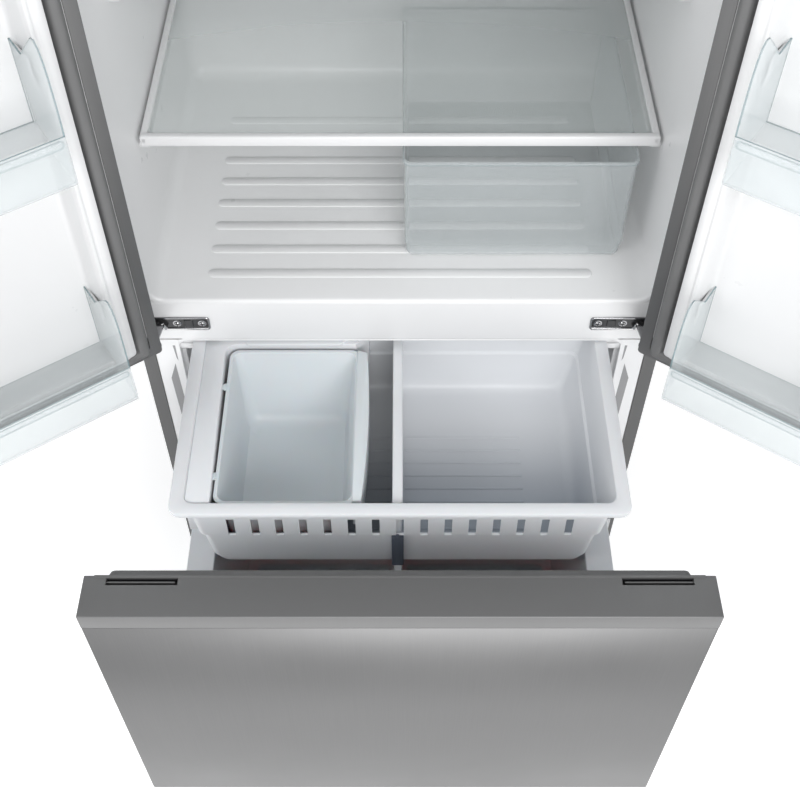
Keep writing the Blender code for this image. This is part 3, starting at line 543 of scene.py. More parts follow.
class FinishesOperator(bpy.types.Operator):
    """Make the materials that the other steps use"""

    bl_idname = "refrigerator.finishes"
    bl_label = "Finishes"

    def execute(self, context):
        GROUPS.update(moulding=moulding_group(), grain=grain_group(), texture=texture_group())
        hue = context.scene.refrigerator_colours
        white, basket, steel, seal = tuple(hue.white), tuple(hue.basket), tuple(hue.steel), tuple(hue.seal)
        self.moulded(white, basket)
        self.textured(steel, seal)
        self.metal(steel)
        see_through("clear", "clear plastic", tuple(hue.clear), 0.15, 0.62, 0.08)
        see_through("clear_edge", "clear plastic edge", tuple(hue.rim), 0.55, 0.95, 0.15)
        see_through("glass", "shelf glass", (0.86, 0.92, 0.91), 0.1, 0.6, 0.04)
        see_through("lamp", "lamp cover", (0.95, 0.96, 0.97), 0.55, 0.9, 0.3)
        return {"FINISHED"}

    def moulded(self, white, basket):
        def mould(key, name, first, second, gloss, **values):
            return finish(key, name, "moulding", first, second, gloss, **values)

        shade, door, door_shade = darker(white, 0.965), darker(white, 0.91), darker(white, 0.87)
        soft = {"Depth": 0.04, "Coat_Roughness": 0.2}
        mould("liner", "white lining", white, shade, 0.3, Coat_Weight=0.15, **soft)
        mould("door_lining", "white door lining", door, door_shade, 0.3, Coat_Weight=0.12, **soft)
        mould("mullion", "white rail", white, darker(white, 0.98), 0.34, Depth=0.03)
        walls, peel = (basket, darker(basket, 0.9), 0.42), {"Depth": 0.08, "Peel": 600.0}
        mould("basket", "white basket", *walls, Subsurface_Weight=0.06, Subsurface_Scale=0.01, **peel)
        # The inside of the basket carries painted shade, blue grey towards its floor and behind its front
        # wall.
        inside = mould("basket_inside_painted_shade", "inside of the basket with painted shade", *walls, **peel)
        paint_inside_shade(inside, (0.33, 0.365, 0.415), (0.485, 0.64), (FRONT - 0.255, FRONT - 0.02))
        frost = {"Depth": 0.1, "Peel": 450.0, "Subsurface_Weight": 0.12, "Subsurface_Scale": 0.012}
        mould("tray", "frosted tray", (0.66, 0.69, 0.71), (0.56, 0.6, 0.63), 0.38, **frost)
        coated = (darker(white, 0.97), darker(white, 0.92), 0.36)
        mould("painted_white", "white painted steel", *coated, Depth=0.1, Peel=1400.0)
        # Painted shadow: a dark blue grey for gaps that lie in shade.
        mould("shadow", "blue grey painted shadow", (0.085, 0.1, 0.13), (0.065, 0.08, 0.105), 0.5)
        # Grey that stands for the shade in recesses: painted shade, laid as thin sheets on the white lining.
        mould("recess", "grey painted recess shade", (0.3, 0.3, 0.305), (0.24, 0.24, 0.245), 0.5)
        enamel = ((0.016, 0.016, 0.018), (0.01, 0.01, 0.011), 0.22)
        mould("enamel", "black enamel", *enamel, Depth=0.12, Peel=500.0, Coat_Weight=0.4, Coat_Roughness=0.1)

    def textured(self, steel, seal):
        pale, deep = darker(steel, 0.95), darker(steel, 0.7)
        for key, name, first, second, gloss, cells, depth, metallic in (
            ("dark_plastic", "dark grained plastic", pale, deep, 0.46, 1400.0, 0.12, 0.0),
            ("black", "black plastic", (0.018, 0.018, 0.02), (0.01, 0.01, 0.011), 0.45, 1200.0, 0.15, 0.0),
            ("seal", "door seal", seal, darker(seal, 0.75), 0.55, 2200.0, 0.1, 0.0),
            ("foam", "rigid foam", (0.72, 0.69, 0.6), (0.6, 0.57, 0.48), 0.85, 700.0, 0.6, 0.0),
            ("galvanised", "galvanised sheet", (0.52, 0.53, 0.54), (0.66, 0.67, 0.69), 0.38, 70.0, 0.01, 0.9),
        ):
            finish(key, name, "texture", first, second, gloss, Cells=cells, Depth=depth, Metallic=metallic)

    def metal(self, steel):
        for key, name, first, second, gloss, spread, metallic in (
            ("steel", "dark painted steel", steel, darker(steel, 1.55), 0.36, 0.35, 0.55),
            ("case", "case steel", darker(steel, 0.72), darker(steel, 1.1), 0.38, 0.35, 0.5),
            ("zinc", "zinc plated rail", (0.5, 0.51, 0.52), (0.68, 0.69, 0.7), 0.3, 0.5, 0.95),
            ("fins", "aluminium fins", (0.66, 0.67, 0.68), (0.82, 0.83, 0.84), 0.34, 0.6, 1.0),
        ):
            finish(key, name, "grain", first, second, gloss, Spread=spread, Metallic=metallic)
        # A darker copy of the plate's metal for its sunk middle: painted shade.
        plate, plate_shade = (0.07, 0.07, 0.072), (0.055, 0.055, 0.057)
        for key, name, first, second, gloss, peel, metallic in (
            ("chrome", "bright plate", (0.36, 0.36, 0.37), (0.28, 0.28, 0.29), 0.2, 300.0, 1.0),
            ("plate_painted_shade", "painted shade in the plate's recess", plate, plate_shade, 0.3, 500.0, 0.8),
            ("screw", "screw head", (0.62, 0.62, 0.62), (0.52, 0.52, 0.54), 0.2, 700.0, 1.0),
        ):
            finish(key, name, "moulding", first, second, gloss, Depth=0.05, Peel=peel, Metallic=metallic)

# Cabinet


def cavity(half, low, high, front, back, corner, deep, step=None):
    """The inside of a moulded compartment: a rounded mouth, plain walls and a rounded back."""
    mouth = 0.006
    rings = [(-half - 0.009, half + 0.009, low - 0.0085, high + 0.009, front, corner + 0.009)]
    for i in range(4):
        angle = math.radians(30 * i)
        out, along = mouth * (1 - math.sin(angle)), mouth * (1 - math.cos(angle))
        rings.append((-half - out, half + out, low - out, high + out, front + along, corner + out))
    if step:
        behind, level = step
        for floor, along in ((low, -0.012), (low + 0.01, 0.0), (level - 0.006, 0.022), (level, 0.034)):
            rings.append((-half, half, floor, high, behind + along, corner))
        low = level
    for i in range(5):
        angle = math.radians(22.5 * i)
        pull, along = deep * (1 - math.cos(angle)), deep * (1 - math.sin(angle))
        radius = max(corner - pull, 0.004)
        rings.append((pull - half, half - pull, low + pull, high - pull, back - along, radius))
    return loft(rings, "Y", last=True, hollow=True)


def low_rib(x, y, bottom, height):
    """A low bar with round ends, raised from a floor."""
    radius = (y[1] - y[0]) / 2
    rings = []
    for inset, level in ((0.0, -0.001), (0.0004, height * 0.5), (0.0016, height)):
        rings.append((x[0] + inset, x[1] - inset, y[0] + inset, y[1] - inset, bottom + level, radius - inset))
    return loft(rings, "Z", last=True)


class CabinetOperator(bpy.types.Operator):
    """Finish the steel case, the back, the foam and the grille"""

    bl_idname = "refrigerator.cabinet"
    bl_label = "Cabinet"

    def execute(self, context):
        carried("cabinet_shell", "case", 0.0012)
        carried("foam_insulation", "foam")
        carried("back_panel", "galvanised", 0.0005)
        carried("machine_cover", "galvanised", 0.0004)
        carried("base_pan", "galvanised", 0.0005)
        carried("cord_gland", "black", 0.0006)
        low, high = shut_box("base_grille")
        foot_bar, head_bar, end_bar, bars = 0.02, 0.012, 0.04, 46
        shapes = [
            block(low, (high.x, high.y, low.z + foot_bar), 0.002, 3),
            block((low.x, low.y, high.z - head_bar), high, 0.002, 3),
            block(low, (low.x + end_bar, high.y, high.z), 0.002, 3),
            block((high.x - end_bar, low.y, low.z), high, 0.002, 3),
        ]
        pitch = (high.x - low.x - 2 * end_bar) / bars
        for i in range(1, bars):
            x, foot, head = low.x + end_bar + pitch * i, low.z + foot_bar - 0.002, high.z - head_bar + 0.002
            shapes.append(block((x - 0.0016, low.y + 0.001, foot), (x + 0.0016, high.y, head), 0.0008, 1))
        piece("toe_grille", shapes, "base_grille", "dark_grey_plastic", "dark_plastic")
        rail = block(*shut_box("mullion_rail"), 0.0045, 4)
        piece("middle_rail", [rail], "mullion_rail", "white_liner", "mullion")
        return {"FINISHED"}


class FreshFoodOperator(bpy.types.Operator):
    """Line the fresh food compartment, with its floor ribs and shelf ledges"""

    bl_idname = "refrigerator.fresh_food"
    bl_label = "Fresh food compartment"

    def execute(self, context):
        floor = shut_box("crisper_drawer")[0].z - 0.003
        roof = shut_box("fresh_food_liner")[1].z - 0.0115
        half, back = shut_box(SHELVES[0])[1].x + 0.005, FRONT + 0.575
        shapes = [cavity(half, floor, roof, FRONT + 0.0008, back, 0.026, 0.026)]
        for i in range(8):
            start = FRONT + 0.05 + 0.0545 * i
            shapes.append(low_rib((-0.3, 0.3), (start, start + 0.019), floor, 0.0015))
        for node in SHELVES:
            base = shut_box(node)[0]
            foot, head = (0.368, base.y + 0.012, base.z - 0.011), (half + 0.001, back - 0.03, base.z - 0.001)
            shapes += both(block(foot, head, 0.003, 3))
        piece("fresh_food_lining", shapes, "fresh_food_liner", "white_liner", "liner")
        self.duct()
        self.controls()
        return {"FINISHED"}

    def duct(self):
        """The cold air column: a rounded cover with rows of outlet slats."""
        low, high = shut_box("air_duct_panel")
        rings = [
            inset_ring(low, high, 0.0, high.y, 0.014), inset_ring(low, high, 0.0, low.y + 0.006, 0.014),
            inset_ring(low, high, 0.002, low.y + 0.002, 0.014), inset_ring(low, high, 0.006, low.y, 0.015),
        ]
        shapes = [loft(rings, "Y", last=True)]
        for i in range(4):
            middle = low.z + 0.066 + 0.14 * i
            for k in range(4):
                z = middle - 0.012 + 0.008 * k
                shapes.append(block((-0.06, low.y - 0.0012, z), (0.06, low.y + 0.002, z + 0.0024), 0.0008))
            panel = (-0.062, low.y - 0.0003, middle - 0.015), (0.062, low.y + 0.001, middle + 0.018)
            shapes.append(block(*panel, slot=1))
        piece("air_duct_cover", shapes, "air_duct_panel", "white_liner", "liner", "dark_plastic")

    def controls(self):
        """The housing under the roof, with its row of keys and its lamp cover."""
        low, high = shut_box("control_panel")
        shapes = [block(low, high, 0.005, 4)]
        for i in range(5):
            x = -0.112 + 0.046 * i
            key = (x, low.y + 0.03, low.z - 0.0012), (x + 0.04, low.y + 0.062, low.z + 0.002)
            shapes.append(block(*key, 0.0015, 3, 1))
        lamp = (-0.125, high.y - 0.105, low.z - 0.0022), (0.125, high.y - 0.022, low.z + 0.002)
        shapes.append(block(*lamp, 0.004, 4, 2))
        piece("controls_and_lamp", shapes, "control_panel", "white_liner", "liner", "dark_plastic", "lamp")


class FreezerOperator(bpy.types.Operator):
    """Line the freezer compartment, with the ledges that carry the upper basket"""

    bl_idname = "refrigerator.freezer"
    bl_label = "Freezer compartment"

    def execute(self, context):
        low, basket_top = shut_box("freezer_liner")[0], shut_box("upper_basket")[1].z
        half = shut_box("right_rail_outer")[1].x + 0.0004
        top, ledge = basket_top + 0.002, basket_top - 0.0108
        wall = half + 0.001
        shapes = [cavity(half, 0.15, top, FRONT + 0.0008, FRONT + 0.575, 0.024, 0.024, (FRONT + 0.37, 0.3))]
        shapes += both(
            block((0.3192, FRONT + 0.012, ledge - 0.019), (wall, FRONT + 0.5, ledge), 0.003, 3),
            block((0.3125, FRONT + 0.0085, ledge - 0.013), (wall, FRONT + 0.0165, ledge - 0.002), 0.002, 3),
            # The next block is a thin grey sheet on each side wall: painted shade of a pocket.
            block((half - 0.0012, FRONT + 0.03, 0.475), (wall, FRONT + 0.072, 0.6), 0.0008, 1),
            block((half - 0.006, FRONT + 0.02, 0.455), (wall, FRONT + 0.026, 0.612), 0.0015),
        )
        edge = shut_box("cabinet_shell")[1].x - 0.0225
        rail_foot = shut_box("mullion_rail")[0].z - 0.0002
        # The recess and slit outlines, the side panels and the strip under the rail are thin grey sheets:
        # painted shade.
        recess = [(0.366, 0.598), (0.3781, 0.5615), (0.3754, 0.4512), (0.3633, 0.4913)]
        slit = [(0.36, 0.642), (0.364, 0.642), (0.362, 0.612), (0.36, 0.605)]
        painted_shade_sheet = (FRONT + 0.0002, FRONT + 0.001)
        panel = (half - 0.002, FRONT + 0.0004, low.z + 0.002), (edge, FRONT + 0.0022, rail_foot)
        strip = (-half, FRONT + 0.0006, top + 0.001), (half, FRONT + 0.002, rail_foot)
        shapes += both(
            block(*panel, 0.0006, 1),
            outline(recess, "Y", painted_shade_sheet, slot=1),
            outline(slit, "Y", painted_shade_sheet, slot=1),
        )
        shapes.append(block(*strip, 0.0004, 1))
        piece("freezer_lining", shapes, "freezer_liner", "white_liner", "liner", "recess")
        carried("evaporator_cover", "liner", 0.0004)
        carried("evaporator", "fins")
        return {"FINISHED"}


class ShelvesOperator(bpy.types.Operator):
    """Make the glass shelves with their trims, and the clear crisper"""

    bl_idname = "refrigerator.shelves"
    bl_label = "Shelves and crisper"

    def execute(self, context):
        for node in SHELVES:
            low, high = shut_box(node)
            glass = low.z + 0.01
            pane = (low.x + 0.003, low.y + 0.004, glass), (high.x - 0.003, high.y - 0.004, glass + 0.004)
            shapes = [
                block(*pane, 0.0006),
                block(low, (high.x, low.y + 0.012, glass + 0.008), 0.0035, 4, 1),
                block((low.x, high.y - 0.014, glass - 0.006), (high.x, high.y, glass + 0.016), 0.003, 3, 1),
                block((low.x, low.y, glass - 0.004), (low.x + 0.01, high.y, glass + 0.0065), 0.002, 3, 1),
                block((high.x - 0.01, low.y, glass - 0.004), (high.x, high.y, glass + 0.0065), 0.002, 3, 1),
            ]
            piece(f"{node}_glazed", shapes, node, "clear_glass", "glass", "liner")
        low, high = shut_box("crisper_drawer")
        top, foot = high.z, low.z
        rows = [
            (0.0, 0.0, top - 0.006, 0.012), (0.0, 0.0, top, 0.012), (0.003, 0.003, top, 0.01),
            (0.004, 0.004, top - 0.012, 0.01), (0.005, 0.005, foot + 0.052, 0.01),
            (0.005, 0.001, foot + 0.046, 0.01), (0.005, 0.001, foot + 0.026, 0.01),
            (0.006, 0.005, foot + 0.022, 0.01), (0.007, 0.006, foot + 0.006, 0.009),
            (0.009, 0.008, foot + 0.0015, 0.008), (0.014, 0.013, foot, 0.006),
        ]
        rows = [(side, side, front, side, level, radius) for side, front, level, radius in rows]
        shapes = [loft(drawn_in(low, high, rows), "Z", last=True, hollow=True)]
        walls = {"wall": sizes().clear_wall, "edge": 0.0005}
        piece("crisper_clear", shapes, "crisper_drawer", "clear_plastic", "clear", "clear_edge", **walls)
        return {"FINISHED"}


# Doors


def inset_ring(low, high, inset, level, corner, foot=0.0):
    """A rounded rectangle drawn in from a door's edges, its bottom edge lowered by foot."""
    corner = max(corner - inset, 0.002)
    return low.x + inset, high.x - inset, low.z + inset - foot, high.z - inset, level, corner


def towards_cabinet(shape):
    """The same lining with its faces turned to the compartment."""
    if sum(face.normal.y * face.calc_area() for face in shape.faces) < 0:
        bmesh.ops.reverse_faces(shape, faces=shape.faces)
    return shape


class DoorsOperator(bpy.types.Operator):
    """Make both doors: skin, seal and moulded lining"""

    bl_idname = "refrigerator.doors"
    bl_label = "Doors"

    def execute(self, context):
        for name, side in SIDES:
            self.skin(name, side)
            self.seal(name)
            self.lining(name)
        self.flipper()
        return {"FINISHED"}

    def skin(self, name, side):
        node = f"{name}_door_skin"
        low, high = shut_box(node)
        fold = sizes().fold
        path = [
            (0.0182, high.y - 0.0004), (0.0172, high.y), (0.0015, high.y), (0.0004, high.y - 0.0004),
            (0.0, high.y - 0.0015),
        ]
        for i in range(5):
            angle = math.radians(22.5 * i)
            path.append((fold * (1 - math.cos(angle)), low.y + fold * (1 - math.sin(angle))))
        shape = loft([inset_ring(low, high, inset, level, 0.006) for inset, level in path], "Y", last=True)
        piece(f"{name}_door_face", [shape], node, "dark_grey_steel", "steel", wall=sizes().sheet)
        cap = drum((0.4158, FRONT - 0.031, low.z + 0.008), ACROSS, 0.0062, 0.0016, 28, 0.0004)
        lip = block((0.4, FRONT - 0.04, low.z - 0.0004), (0.415, FRONT - 0.02, low.z + 0.001), 0.0004)
        piece(f"{name}_door_stop_cap", on_side(side, cap, lip), node, "dark_grey_plastic", "black")

    def seal(self, name):
        """A hollow seal."""
        node = f"{name}_door_gasket"
        low, high = shut_box(node)
        base, top = low.y, high.y
        path = [
            (0.0, base), (0.0012, base + 0.0035), (0.0034, base + 0.008), (0.006, top - 0.003),
            (0.0086, top - 0.001), (0.011, top), (0.0165, top), (0.019, top - 0.0015), (0.0205, top - 0.0045),
            (0.0212, top - 0.01), (0.0215, base),
        ]
        shape = loft([inset_ring(low, high, inset, level, 0.012) for inset, level in path], "Y")
        piece(f"{name}_door_seal", [shape], node, "grey_gasket", "seal")

    def lining(self, name):
        """A flat seat, a rounded dyke and a recess, with a soft groove down the middle of the dyke."""
        node = f"{name}_door_liner"
        low, high = shut_box(node)
        base, top = shut_box(f"{name}_door_gasket")[0].y - 0.0002, shut_box("right_door_liner")[1].y
        recess = low.y + 0.0024
        path = [
            (0.0, base, 0.0), (0.0236, base, 0.0), (0.025, base + 0.0012, 0.0), (0.0262, base + 0.006, 0.0),
            (0.0284, top - 0.009, 0.0), (0.0302, top - 0.0028, 0.0), (0.0345, top, 0.0005),
            (0.042, top, 0.01), (0.0438, top - 0.0012, 0.012), (0.0462, top - 0.0012, 0.015),
            (0.048, top, 0.018),
            (0.0515, top - 0.0006, 0.021), (0.054, top - 0.004, 0.022), (0.0556, top - 0.01, 0.022),
            (0.059, recess + 0.01, 0.022), (0.0606, recess + 0.0035, 0.022), (0.064, recess + 0.0006, 0.022),
            (0.069, recess, 0.022),
        ]
        rings = [inset_ring(low, high, at, level, 0.022 + at * 0.5, foot) for at, level, foot in path]
        shapes = [towards_cabinet(loft(rings, "Y", last=True))]
        for level in BIN_LEVELS:
            bin_low, bin_high = shut_box(f"{name}_door_bin_{level}")
            for x in (bin_low.x - 0.0045, bin_high.x + 0.0005):
                lug = (x, recess, bin_high.z - 0.05), (x + 0.004, top - 0.004, bin_high.z - 0.012)
                shapes.append(block(*lug, 0.0015, 3))
        if name == "left":
            for z in (middle + offset for middle in KNUCKLES for offset in (-0.0305, 0.026)):
                ear = (-0.056, FRONT + 0.0135, z), (-0.0365, FRONT + 0.0245, z + 0.0045)
                shapes.append(block(*ear, 0.0015))
        piece(f"{name}_door_lining", shapes, node, "white_liner", "door_lining")

    def flipper(self):
        """The folding bar on the left door, with its two knuckles and a dark facing strip."""
        low, high = shut_box("flipper_mullion")
        strip = (-0.026, FRONT + 0.0002, low.z + 0.02), (0.024, FRONT + 0.002, high.z - 0.02)
        shapes = [
            block((-0.036, FRONT + 0.0006, low.z), (0.034, FRONT + 0.0185, high.z), 0.003, 4),
            block(*strip, 0.0008, slot=1),
        ]
        for z in KNUCKLES:
            shapes.append(drum((-0.0405, FRONT + 0.0205, z), UP, 0.0055, 0.05, 20, 0.0008))
            leaf = (-0.0405, FRONT + 0.0155, z - 0.025), (-0.03, FRONT + 0.0185, z + 0.025)
            shapes.append(block(*leaf, 0.0008))
        piece("folding_bar", shapes, "flipper_mullion", "dark_grey_plastic", "dark_plastic", "steel")


class DoorBinsOperator(bpy.types.Operator):
    """Make the clear bins that hang in the doors"""

    bl_idname = "refrigerator.door_bins"
    bl_label = "Door bins"

    def execute(self, context):
        for name, side in SIDES:
            for level in BIN_LEVELS:
                self.bin(name, side, level)
        return {"FINISHED"}

    def bin(self, name, side, level):
        node = f"{name}_door_bin_{level}"
        low, high = shut_box(node)
        if side < 0:
            low, high = Vector((-high.x, low.y, low.z)), Vector((-low.x, high.y, high.z))
        rim = low.z + 0.074
        shapes = on_side(side, self.bin_skin(low, high, rim), self.front_band(low, high, rim))
        walls = {"wall": sizes().clear_wall, "edge": 0.0004, "sharp": 50}
        piece(f"{name}_bin_{level}", shapes, node, "clear_plastic", "clear", "clear_edge", **walls)

    def bin_skin(self, low, high, rim):
        """The side profile swept across, with round outer edges, open at its top and back."""
        step, foot, dyke = low.z + 0.0205, 0.012, FRONT + 0.0205
        profile = [(low.y, step), (dyke - 0.004, step), (dyke, step - 0.004), (dyke, low.z + 0.004)]
        first = len(profile)
        profile += arc_points((high.y - foot, low.z + foot), foot, -90, 0, 5)
        profile.append((high.y, rim))
        outer = {tuple(round(c, 5) for c in point) for point in profile[first:]}
        shoulder = [
            (0.0, 0.02), (0.0, 0.048), (-0.001, 0.072), (-0.0035, 0.092), (-0.009, 0.107), (-0.017, 0.113),
            (-0.026, 0.111),
        ]
        hook = [(0.042, 0.068), (0.037, 0.061), (0.031, 0.059), (0.0, high.z - rim - 0.006)]
        profile += [(high.y + along, rim + up) for along, up in shoulder]
        profile += [(low.y + along, rim + up) for along, up in hook]
        shape = outline(profile, "X", (low.x, high.x))
        edges = [
            e for e in shape.edges
            if abs(e.verts[0].co.x - e.verts[1].co.x) < 1e-5
            and all((round(v.co.y, 5), round(v.co.z, 5)) in outer for v in e.verts)
        ]
        rounded(shape, edges, 0.009, 4, True)
        shape.normal_update()
        middle = (low.x + high.x) / 2
        open_faces = []
        for face in shape.faces:
            centre = face.calc_center_median()
            if abs(face.normal.x) < 0.5 and abs(centre.x - middle) < 0.02:
                if centre.z > rim - 0.001 or centre.y < low.y + 0.0005:
                    open_faces.append(face)
        bmesh.ops.delete(shape, geom=open_faces, context="FACES_ONLY")
        return shape

    def front_band(self, low, high, rim):
        """A shallow band along the front, under the rim."""
        rings = []
        for inset, out, radius in ((0.0, -0.0006, 0.004), (0.0, 0.0004, 0.004), (0.002, 0.0008, 0.003)):
            side, foot, head = 0.004 + inset, rim - 0.015 + inset, rim - 0.003 - inset
            rings.append((low.x + side, high.x - side, foot, head, high.y + out, radius))
        return loft(rings, "Y", last=True)


# Hinges


class HingesOperator(bpy.types.Operator):
    """Make the hinge brackets, pins, stops and covers"""

    bl_idname = "refrigerator.hinges"
    bl_label = "Hinges"

    def execute(self, context):
        for name, side in SIDES:
            self.bracket(name, side)
            carried(f"{name}_top_hinge", "chrome", 0.0005)
            self.cover(name)
        return {"FINISHED"}

    def bracket(self, name, side):
        """A pressed plate with two screws, and an arm that carries the lower pin and the stop."""
        pin_x, pin_y, _ = JOINT_OF["right_door"]["pos_m"]
        x0, x1, z0, z1 = 0.297, 0.4145, 0.6815, 0.709
        face = FRONT - 0.0003
        # Slot dark holds the plate's painted shade; slot bright is screw metal, also laid on the lip as a
        # painted highlight.
        bright, black, dark = 1, 2, 3
        plate = [
            (x0, x1, z0, z1, face, 0.0055), (x0, x1, z0, z1, face - 0.0018, 0.0055),
            (x0 + 0.0006, x1 - 0.0006, z0 + 0.0006, z1 - 0.0006, face - 0.0024, 0.005),
            (x0 + 0.0024, x1 - 0.0024, z0 + 0.0024, z1 - 0.0024, face - 0.0024, 0.004),
            (x0 + 0.0034, x1 - 0.0034, z0 + 0.005, z1 - 0.0034, face - 0.001, 0.003),
        ]
        rise = [
            (0.322, 0.338, z0 + 0.006, z1 - 0.0045, face - 0.0008, 0.002),
            (0.324, 0.336, z0 + 0.0072, z1 - 0.0057, face - 0.0028, 0.002),
        ]
        # A dark sheet in the plate's recess and the dark raised middle: painted shade on the one chrome
        # plate.
        painted_shade_sheet = (x0 + 0.0036, face - 0.0014, z0 + 0.0052), (x1 - 0.0036, face - 0.0008, z1 - 0.0036)
        shapes = [loft(plate, "Y", last=True), block(*painted_shade_sheet, slot=dark), loft(rise, "Y", last=True, slot=dark)]
        z = 0.6962
        for x in (0.309, 0.348):
            shapes.append(drum((x, face - 0.0012, z), INWARDS, 0.0068, 0.0016, 28, 0.0004))
            shapes.append(drum((x, face - 0.003, z), INWARDS, 0.003, 0.0026, 24, 0.0007, bright, 0.005))
            for wide, tall in ((0.0034, 0.0008), (0.0008, 0.0034)):
                cross = (x - wide, face - 0.0046, z - tall), (x + wide, face - 0.0036, z + tall)
                shapes.append(block(*cross, slot=black))
        tip = arc_points((pin_x, pin_y), 0.0155, 0, -180, 12)
        arm = [(pin_x + 0.0155, face - 0.0012), *tip, (0.374, pin_y), (0.366, face - 0.0012)]
        # The ledge is the plate's lower lip in the brighter screw metal: a painted highlight.
        ledge = (x0 + 0.003, face - 0.0034, z0 + 0.0006), (x1 - 0.028, face - 0.0006, z0 + 0.0046)
        shapes += [
            outline(arm, "Z", (0.6965, 0.7005), 0.0008),
            drum((pin_x, pin_y, 0.712), UP, 0.005, 0.026, 24, 0.0012, bright),
            drum((pin_x, pin_y, 0.6985), UP, 0.0085, 0.0032, 28, 0.0008, bright),
            drum((0.372, pin_y - 0.001, 0.6997), UP, 0.0064, 0.0062, 24, 0.0015, black),
            block(*ledge, 0.001, 3, bright),
            block((0.378, FRONT - 0.01, 0.6905), (0.392, face - 0.001, 0.6955), 0.001),
            drum((0.369, FRONT - 0.0058, 0.6945), (0.5, 0, 1), 0.0042, 0.013, 20, 0.001, bright),
            block((0.3755, FRONT - 0.0062, 0.686), (0.3795, face - 0.001, 0.702), 0.0008, slot=black),
        ]
        node = f"{name}_centre_hinge"
        finishes = ("chrome", "screw", "black", "plate_painted_shade")
        piece(f"{name}_centre_bracket", on_side(side, *shapes), node, "chrome", *finishes)

    def cover(self, name):
        """A thin moulded cap over the top hinge."""
        node = f"{name}_hinge_cover"
        low, high = shut_box(node)
        crown = 0.01
        rows = [evenly(0.0, low.z, 0.014)]
        for i in range(5):
            angle = math.radians(22.5 * i)
            inset = crown * (1 - math.cos(angle))
            rows.append(evenly(inset, high.z - crown + crown * math.sin(angle), max(0.014 - inset, 0.004)))
        shape = loft(drawn_in(low, high, rows), "Z", last=True)
        piece(f"{name}_hinge_cap", [shape], node, "dark_grey_plastic", "dark_plastic", wall=0.0018)


# Freezer drawer


class DrawerFrontOperator(bpy.types.Operator):
    """Make the drawer's front: skin, top cap with its grips, lining, seal and side brackets"""

    bl_idname = "refrigerator.drawer_front"
    bl_label = "Drawer front"

    def execute(self, context):
        self.skin()
        self.top_cap()
        self.seal()
        self.lining()
        for name, _ in SIDES:
            carried(f"{name}_drawer_bracket", "painted_white", 0.0005)
            carried(f"{name}_rail_outer", "zinc", 0.0008)
            carried(f"{name}_rail_middle", "zinc", 0.0008)
        return {"FINISHED"}

    def skin(self):
        shape = block(*shut_box("drawer_front_skin"))
        up = [face for face in shape.faces if face.normal.z > 0.9]
        bmesh.ops.delete(shape, geom=up, context="FACES_ONLY")
        rounded(shape, [edge for edge in shape.edges if not edge.is_boundary], sizes().fold, 4)
        piece("drawer_face", [shape], "drawer_front_skin", "dark_grey_steel", "steel", wall=sizes().sheet)

    def top_cap(self):
        """A cap with a sunk grip near each end, each with a finger bar along its middle."""
        low, high = shut_box("drawer_top_trim")
        shape = block(low, high, 0.0015, 3)
        (x0, x1), (y0, y1), depth = (0.2915, 0.386), (FRONT - 0.034, FRONT - 0.0225), 0.018
        cuts = [((x, 0, 0), ACROSS) for x in (-x1, -x0, x0, x1)] + [((0, y, 0), INWARDS) for y in (y0, y1)]
        for place, normal in cuts:
            geom = shape.verts[:] + shape.edges[:] + shape.faces[:]
            bmesh.ops.bisect_plane(shape, geom=geom, plane_co=place, plane_no=normal)
        for side in (-1, 1):
            over = []
            for face in shape.faces:
                x, y, _ = face.calc_center_median()
                if face.normal.z > 0.9 and x0 < side * x < x1 and y0 < y < y1:
                    over.append(face)
            down = bmesh.ops.extrude_face_region(shape, geom=over)["geom"]
            bmesh.ops.delete(shape, geom=over, context="FACES_ONLY")
            moved = [item for item in down if isinstance(item, bmesh.types.BMVert)]
            bmesh.ops.translate(shape, verts=moved, vec=(0, 0, -depth))
            inner = [vert for vert in moved if side * vert.co.x < x0 + 0.001]
            bmesh.ops.translate(shape, verts=inner, vec=(side * 0.006, 0, 0))
        middle = (y0 + y1) / 2
        bar = (x0 + 0.004, middle - 0.001, high.z - 0.0125), (x1, middle + 0.001, high.z - 0.002)
        walls = [
            block((x0 + 0.001, y, high.z - depth), (x1 - 0.0003, y + 0.001, high.z - 0.004), slot=1)
            for y in (y0 + 0.0001, y1 - 0.0011)
        ]
        lip = (-0.4025, high.y - 0.0042, high.z - 0.001), (0.4025, high.y + 0.0002, high.z + 0.001)
        shapes = [shape, *both(block(*bar, 0.0006), *walls), block(*lip, 0.0008)]
        piece("drawer_top_cap", shapes, "drawer_top_trim", "dark_grey_plastic", "steel", "black")

    def seal(self):
        low, high = shut_box("drawer_gasket")
        base, top = low.y, high.y
        path = [
            (0.0, base), (0.001, base + 0.009), (0.003, top - 0.001), (0.006, top - 0.0008),
            (0.0075, top - 0.0045), (0.0085, top - 0.0045), (0.01, top - 0.0008), (0.013, top), (0.019, top),
            (0.022, top - 0.002), (0.0235, top - 0.008), (0.0238, base),
        ]
        shape = loft([inset_ring(low, high, inset, level, 0.012) for inset, level in path], "Y")
        piece("drawer_seal", [shape], "drawer_gasket", "grey_gasket", "seal")

    def lining(self):
        low, high = shut_box("drawer_inner_panel")
        base, top = shut_box("drawer_gasket")[0].y - 0.0002, high.y
        path = [
            (0.0, base), (0.048, base), (0.0492, base + 0.001), (0.051, base + 0.006), (0.0535, top - 0.005),
            (0.056, top - 0.001), (0.062, top), (0.09, top), (0.093, top - 0.0015), (0.096, top - 0.004),
            (0.1, top - 0.0055), (0.12, top - 0.006),
        ]
        rings = [inset_ring(low, high, inset, level, 0.03 + inset * 0.4) for inset, level in path]
        shape = towards_cabinet(loft(rings, "Y", last=True))
        piece("drawer_lining", [shape], "drawer_inner_panel", "white_liner", "liner")


